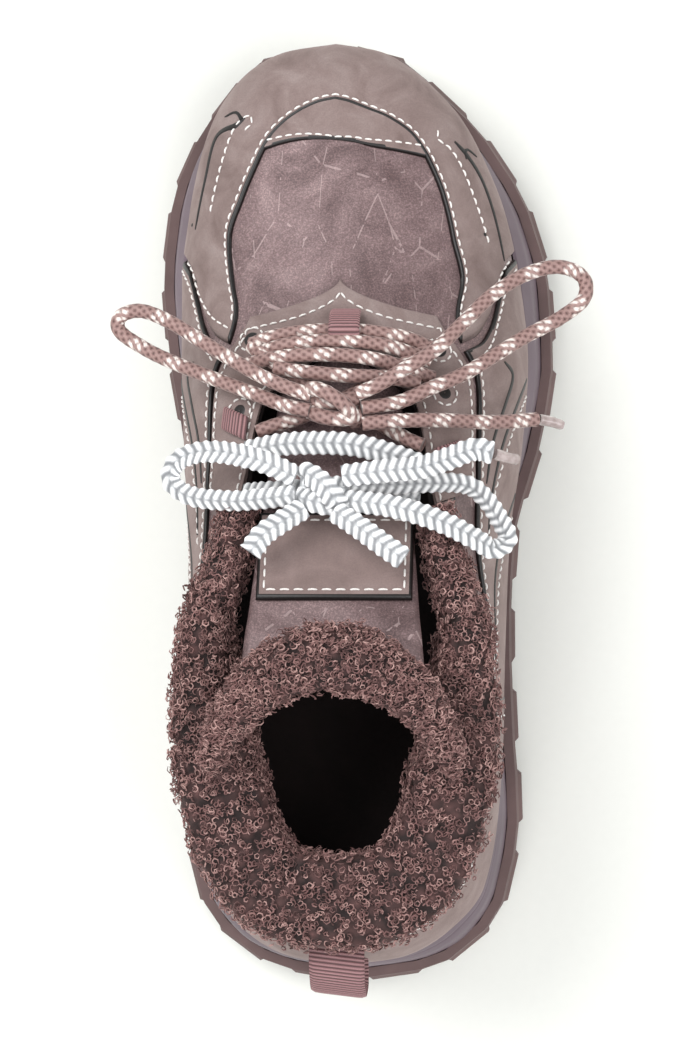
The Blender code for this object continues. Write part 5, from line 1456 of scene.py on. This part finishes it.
def make_tapes():
    top = wall(1.0, PULL_TOP)
    low = wall(1.0, PULL_LOW)
    route = (
        top + (0, -0.0006, 0),
        top + (0, -0.6 * PULL_REACH, 0.1 * PULL_REACH),
        top + (0, -PULL_REACH, -0.2 * PULL_REACH),
        (top + low) / 2 + (0, -PULL_REACH, 0),
        low + (0, -0.65 * PULL_REACH, -0.1 * PULL_REACH),
        low + (0, -0.0028, 0),
    )
    tape_piece("heel_pull_tape", route, TAPE_WIDTH, (1, -0.12, 0), "heel_pull_loop")
    tape_piece("front_loop_tape", FRONT_LOOP, 9.5 * MM, (1, 0, 0), "lace_loop_front")
    for name, side, u, node in (
        ("side_loop_tape_inner", -1, 0.528, "lace_loop_inner"),
        ("side_loop_tape_outer", 1, 0.560, "lace_loop_outer"),
    ):
        h = np.linspace(0.76, 0.955, 6)
        lift = np.array([0.4, 1.0, 1.5, 1.7, 1.9, 1.2]) * MM + TOP_LIFT + 0.3 * MM
        line = skin(np.full(6, side * u), h, lift)
        before = wall(side * (u + 0.01), 0.85) - wall(side * (u - 0.01), 0.85)
        tape_piece(name, line, 7.5 * MM, before * side, node)


# Fleece


def fleece_rings(u_values, around):
    """Sections of the collar's fleece, smoothed and finely stepped."""
    sections = []
    for u in u_values:
        s = abs(u)
        crown = wall(u, 1.0)
        ahead = wall(min(1, u + SMALL_STEP), 1.0) - wall(max(-1, u - SMALL_STEP), 1.0)
        outward = unit(np.array([-ahead[1], ahead[0], 0.0]))
        if s > 1 - SMALL_STEP:
            outward = np.array([0.0, -1.0, 0.0])
        reach = float(FLEECE["reach"](s)) * FLEECE_DEPTH
        low = float(FLEECE["low"](s))
        middle = (1 + low) / 2
        lining = UPPER_WALL + 0.6 * MM
        thick = lining + reach * max(FLEECE_THIN, FLEECE_THICK * min(1.0, 4 * (1 - low)))
        up = np.array([0.0, 0.0, 1.0])
        section = [skin(u, low, -lining), skin(u, middle, -lining), skin(u, 1.0, -lining),
                   crown - outward * lining + up * 2 * GAP]
        for out, high in FLEECE_TOP_ROWS:
            far = out * (FLEECE_OVERHANG if out > 0 else reach)
            section.append(crown + outward * far + up * high * FLEECE_HEIGHT)
        section.append(skin(u, middle, -lining - FLEECE_MIDDLE * reach))
        section.append(skin(u, low, -thick))
        section = np.array(section)
        soft = spline(section[3:], 0.2 * MM)
        goals = np.linspace(0, len(soft) - 1, around)
        sections.append(np.stack([np.interp(goals, np.arange(len(soft)), soft[:, k]) for k in range(3)],
                                 axis=-1))
    return np.array(sections)


def lumpy(points, normals, size, depth, seed):
    """Pushes points out along their normals in rounded lumps of about this size."""
    flat = points.reshape(-1, 3)
    out = np.empty(len(flat))
    shift = Vector((seed * 3.1, seed * 1.7, seed * 2.3))
    for k, p in enumerate(flat):
        place = Vector(p) / size + shift
        out[k] = 1 - noise.voronoi(place)[0][0]
    return points + normals * (depth * (out.reshape(points.shape[:-1]) - 0.5))[..., None], out


def curls(name, points, normals, weights, count, seed, radius):
    """Small closed hooks of fibre, scattered over a surface by weight."""
    rng = np.random.default_rng(seed)
    flat, across = points.reshape(-1, 3), normals.reshape(-1, 3)
    chosen = rng.choice(len(flat), size=count, p=weights.ravel() / weights.sum())
    centre = flat[chosen] + rng.normal(0, 0.5 * MM, (count, 3))
    up = across[chosen]
    helper = unit(rng.normal(size=(count, 3)))
    one = unit(np.cross(up, helper))
    two = np.cross(up, one)
    tilt = rng.uniform(0.0, 1.15, count)[:, None]
    axis = unit(up * np.cos(tilt) + one * np.sin(tilt))
    one = unit(np.cross(two, axis))
    steps = 6
    t = np.linspace(0, 1, steps)[None, :]
    start = rng.uniform(0, 2 * np.pi, (count, 1))
    turns = rng.uniform(0.65, 1.10, (count, 1))
    angle = start + 2 * np.pi * turns * t
    size = radius * rng.uniform(0.65, 1.25, (count, 1)) * (1 - 0.35 * t)
    cos, sin = np.cos(angle)[..., None], np.sin(angle)[..., None]
    radial = one[:, None, :] * cos + two[:, None, :] * sin
    rise = (rng.uniform(0.1, 1.0, (count, 1)) + 0.5 * t) * MM
    middle = centre[:, None, :] + radial * size[..., None] + up[:, None, :] * rise[..., None]
    thick = rng.uniform(0.20, 0.32, (count, 1)) * MM * np.sin(np.pi * np.clip(t * 0.92 + 0.04, 0, 1)) ** 0.4
    rings = []
    for k in range(3):
        phase = 2 * np.pi * k / 3
        rings.append(middle + thick[..., None] * (radial * math.cos(phase) + axis[:, None,
                                                                                  :] * math.sin(phase)))
    ring = np.stack(rings, axis=2)
    one_curl, _ = grid_faces(steps, 3, close_columns=True)
    offsets = (np.arange(count) * steps * 3)[:, None, None]
    faces = (one_curl[None] + offsets).reshape(-1, 4)
    ends = np.array([[0, 1, 2], [(steps - 1) * 3 + 2, (steps - 1) * 3 + 1, (steps - 1) * 3]])
    caps = (ends[None] + offsets).reshape(-1, 3)
    # Each curl's own random tone, plus painted shade at its low end and a painted highlight at its high end.
    tone = rng.uniform(0.25, 0.85, (count, 1, 1)) + 0.25 * (t[..., None] - 0.5)
    shade = np.broadcast_to(tone, (count, steps, 3))
    return mesh_piece(name, ring, [faces, caps], [PILE], marks={"shade": shade})


def surface_normals(points, closed):
    ahead = np.gradient(points, axis=0)
    around = np.gradient(points, axis=1)
    if closed:
        around = np.roll(points, -1, axis=1) - np.roll(points, 1, axis=1)
    return unit(np.cross(around, ahead))


CURLS_PER_SIDE = 3400
CURLS_ON_ROLL = 3100


def make_collar_fleece():
    """The collar's fleece: a lumpy backing under thousands of small curls."""
    u_right = np.linspace(FLEECE_START, 1.0, 160)
    u_values = np.concatenate([u_right, -u_right[::-1][1:]])
    around = 64
    rings = fleece_rings(u_values, around)
    normals = surface_normals(rings, False)
    centre = rings.mean(axis=1, keepdims=True)
    if ((rings - centre) * normals).sum() < 0:
        normals = -normals
    lumps, out = lumpy(rings, normals, 4.2 * MM, 2.6 * MM, 1)
    rows, sides = lumps.shape[:2]
    faces, _ = grid_faces(rows, sides, close_columns=True)
    k = np.arange(1, sides - 1)
    caps = np.concatenate([
        np.stack([0 * k, k + 1, k], axis=-1),
        (rows - 1) * sides + np.stack([0 * k, k, k + 1], axis=-1),
    ])
    # Lighter on the lumps' tops and darker in their hollows: painted shade.
    shade = np.clip(out.reshape(lumps.shape[:2]) * 0.9 - 0.2, 0, 1)
    made = mesh_piece("collar_fleece_backing", lumps, [faces, caps], [PILE_PAINTED_SHADE],
                      marks={"shade": shade})
    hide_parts("collar_fleece")
    area = np.linalg.norm(np.gradient(lumps, axis=0), axis=-1) * np.linalg.norm(np.gradient(lumps, axis=1),
                                                                                axis=-1)
    spread = np.linspace(0, 1, sides)[None, :]
    seen = np.clip(1.15 - 1.1 * np.maximum(0, spread - 0.75) / 0.25, 0.1, 1) * np.clip(spread * 14, 0.15, 1)
    weights = area * seen
    thirds = np.clip((np.arange(rows) * 3) // rows, 0, 2)
    count = CURLS_PER_SIDE
    for part, side in enumerate(("outer", "heel", "inner")):
        chosen = (thirds == part)[:, None]
        curls(f"collar_fleece_curls_{side}", lumps, normals, weights * chosen, count, 10 + part, 1.05 * MM)


def make_tongue_fleece():
    """The fleece roll folded over the tongue's end."""
    steps, sides = 170, 40
    across = ROLL_REACH * (2 * np.arange(steps) / (steps - 1) - 1)
    plump = 0.5 + 0.5 * np.sqrt(np.maximum(0.0, 1 - (across / ROLL_REACH) ** 8))
    along = tongue_end(across)
    seat = tongue_point(along, across)
    up = unit(tongue_point(along, across, -1.0) - seat)
    ahead = unit(stack(0.0, up[:, 2], -up[:, 1]))
    middle = seat + up * (ROLL_HALF_HEIGHT * plump + 2 * GAP)[:, None]
    turn = np.linspace(0, 2 * np.pi, sides, endpoint=False)
    ring = (
        middle[:, None, :]
        + ahead[:, None, :] * (ROLL_HALF_WIDTH * plump)[:, None, None] * np.cos(turn)[None, :, None]
        + up[:, None, :] * (ROLL_HALF_HEIGHT * plump)[:, None, None] * np.sin(turn)[None, :, None]
    )
    normals = unit(ring - middle[:, None, :])
    lumps, out = lumpy(ring, normals, 4.2 * MM, 2.4 * MM, 2)
    rows = steps
    faces, _ = grid_faces(rows, sides, close_columns=True)
    k = np.arange(1, sides - 1)
    caps = np.concatenate([
        np.stack([0 * k, k + 1, k], axis=-1),
        (rows - 1) * sides + np.stack([0 * k, k, k + 1], axis=-1),
    ])
    # Lighter on the lumps' tops and darker in their hollows: painted shade.
    shade = np.clip(out.reshape(lumps.shape[:2]) * 0.9 - 0.2, 0, 1)
    made = mesh_piece("tongue_fleece_backing", lumps, [faces, caps], [PILE_PAINTED_SHADE],
                      marks={"shade": shade})
    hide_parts("tongue_fleece")
    count = CURLS_ON_ROLL
    area = np.linalg.norm(np.gradient(lumps, axis=0), axis=-1) * np.linalg.norm(np.gradient(lumps, axis=1),
                                                                                axis=-1)
    curls("tongue_fleece_curls", lumps, normals, area * (1.2 + np.sin(turn))[None, :], count, 20, 1.05 * MM)


def make_holes():
    """Punched eyelets, lace holes and pinholes as dark sunk discs: painted shade in the holes."""
    parts = []
    for u, h, radius, lift in (
        (0.500, 0.82, 2.0, 1.75), (-0.515, 0.86, 2.0, 1.75), (-0.455, 0.70, 2.4, 1.75), (0.465, 0.72, 2.4,
                                                                                         1.75),
        (-0.415, 0.30, 0.6, 1.45), (-0.350, 0.20, 0.6, 1.45), (0.360, 0.34, 0.6, 1.45),
    ):
        centre = wall(u, h)
        normal = wall_normal(u, h)
        side = unit(np.cross(normal, (0.0, 1.0, 0.0)))
        up = np.cross(side, normal)
        turn = np.linspace(0, 2 * np.pi, 20, endpoint=False)[:, None]
        circle = side * np.cos(turn) + up * np.sin(turn)
        rings = [centre + normal * lift * MM + circle * radius * MM,
                 centre + normal * (lift + 0.12) * MM + circle * radius * 0.8 * MM,
                 centre + normal * (lift - 0.05) * MM + circle * radius * 0.05 * MM]
        faces, _ = grid_faces(3, 20, close_columns=True)
        parts.append((np.array(rings), faces))
        if radius > 1:
            seam = centre + (np.cos(turn) * side + np.sin(turn) * up) * 4.0 * MM
            seam = np.concatenate([seam, seam[:1]])
            stitch(seam, np.repeat(normal[None], len(seam), axis=0), lift * MM - 0.1 * MM, pitch=2.6 * MM,
                   run=2.0 * MM)
    points, faces = joined(parts)
    mesh_piece("punched_holes", points, [faces], [EDGE])


def dress_kept_nodes():
    """Gives the kept solids their materials."""
    for name, surface in (("outsole", RUBBER), ("insole", FELT)):
        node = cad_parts[name]
        node.data.materials.clear()
        node.data.materials.append(surface)
    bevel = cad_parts["outsole"].modifiers.new("worn edges", "BEVEL")
    bevel.width = 0.35 * MM
    bevel.segments = 2
    bevel.limit_method = "ANGLE"
    bevel.angle_limit = math.radians(35)


# Stage

VIEW_DISTANCE = 1.7
VIEW_TILT = math.radians(3)
VIEW_TARGET = Vector((0.00096, 0.10065, 0.030))
VIEW_WIDTH = 0.2231
SENSOR = 36.0


def make_camera():
    data = bpy.data.cameras.new("camera")
    data.sensor_fit = "HORIZONTAL"
    data.sensor_width = SENSOR
    data.lens = SENSOR * VIEW_DISTANCE / VIEW_WIDTH
    data.clip_start = 0.05
    camera = bpy.data.objects.new("camera", data)
    bpy.context.scene.collection.objects.link(camera)
    away = Vector((math.sin(VIEW_TILT), 0, math.cos(VIEW_TILT)))
    camera.location = VIEW_TARGET + away * VIEW_DISTANCE
    camera.rotation_euler = (0, VIEW_TILT, 0)
    bpy.context.scene.camera = camera


def area_light(name, place, target, size, power):
    data = bpy.data.lights.new(name, "AREA")
    data.shape = "DISK"
    data.size = size
    data.energy = power
    light = bpy.data.objects.new(name, data)
    light.location = place
    light.rotation_euler = (Vector(target) - Vector(place)).to_track_quat("-Z", "Y").to_euler()
    bpy.context.scene.collection.objects.link(light)


def make_stage():
    """A pale seamless floor under soft light from above."""
    mesh = bpy.data.meshes.new("floor")
    far = 3.0
    mesh.from_pydata([(-far, -far, 0), (far, -far, 0), (far, far, 0), (-far, far, 0)], [], [(0, 1, 2, 3)])
    made, tree, shader = blank("floor paper", Roughness=0.9)
    place = add(tree, "TexCoord")
    fibre = add(tree, "TexNoise", Vector=(place, "Object"), Scale=1 / (3 * MM), Detail=2.0)
    tone = add(tree, "ValToRGB", stops=((0.0, "#EEEFE9"), (1.0, "#F1F2EC")), Fac=(fibre, "Fac"))
    tree.links.new(tone.outputs["Color"], shader.inputs["Base Color"])
    mesh.materials.append(made)
    floor = bpy.data.objects.new("floor", mesh)
    bpy.context.scene.collection.objects.link(floor)
    area_light("key", (-0.75, 0.75, 1.5), (0, 0.1, 0.05), 1.3, 24)
    area_light("fill", (0.9, -0.1, 1.4), (0, 0.1, 0.05), 1.4, 14)
    area_light("back", (-0.2, -1.1, 1.2), (0, 0.1, 0.05), 1.0, 8)
    world = bpy.data.worlds.new("studio")
    world.use_nodes = True
    world.node_tree.nodes["Background"].inputs["Color"].default_value = (0.95, 0.97, 1.0, 1)
    world.node_tree.nodes["Background"].inputs["Strength"].default_value = 0.55
    bpy.context.scene.world = world
    bpy.context.scene.view_settings.view_transform = "Standard"


make_camera()
make_round_lace()
make_flat_lace()
make_tapes()
dress_kept_nodes()
make_upper()
make_toe_band()
make_toe_guard()
make_throat_panel()
make_quarters()
make_heel_counter()
make_collar_band()
make_midsole()
make_tongue()
make_label()
make_holes()
make_collar_fleece()
make_tongue_fleece()
points, faces = joined(STITCHES)
mesh_piece("stitching", points, [faces], [THREAD], flip=True)
make_stage()
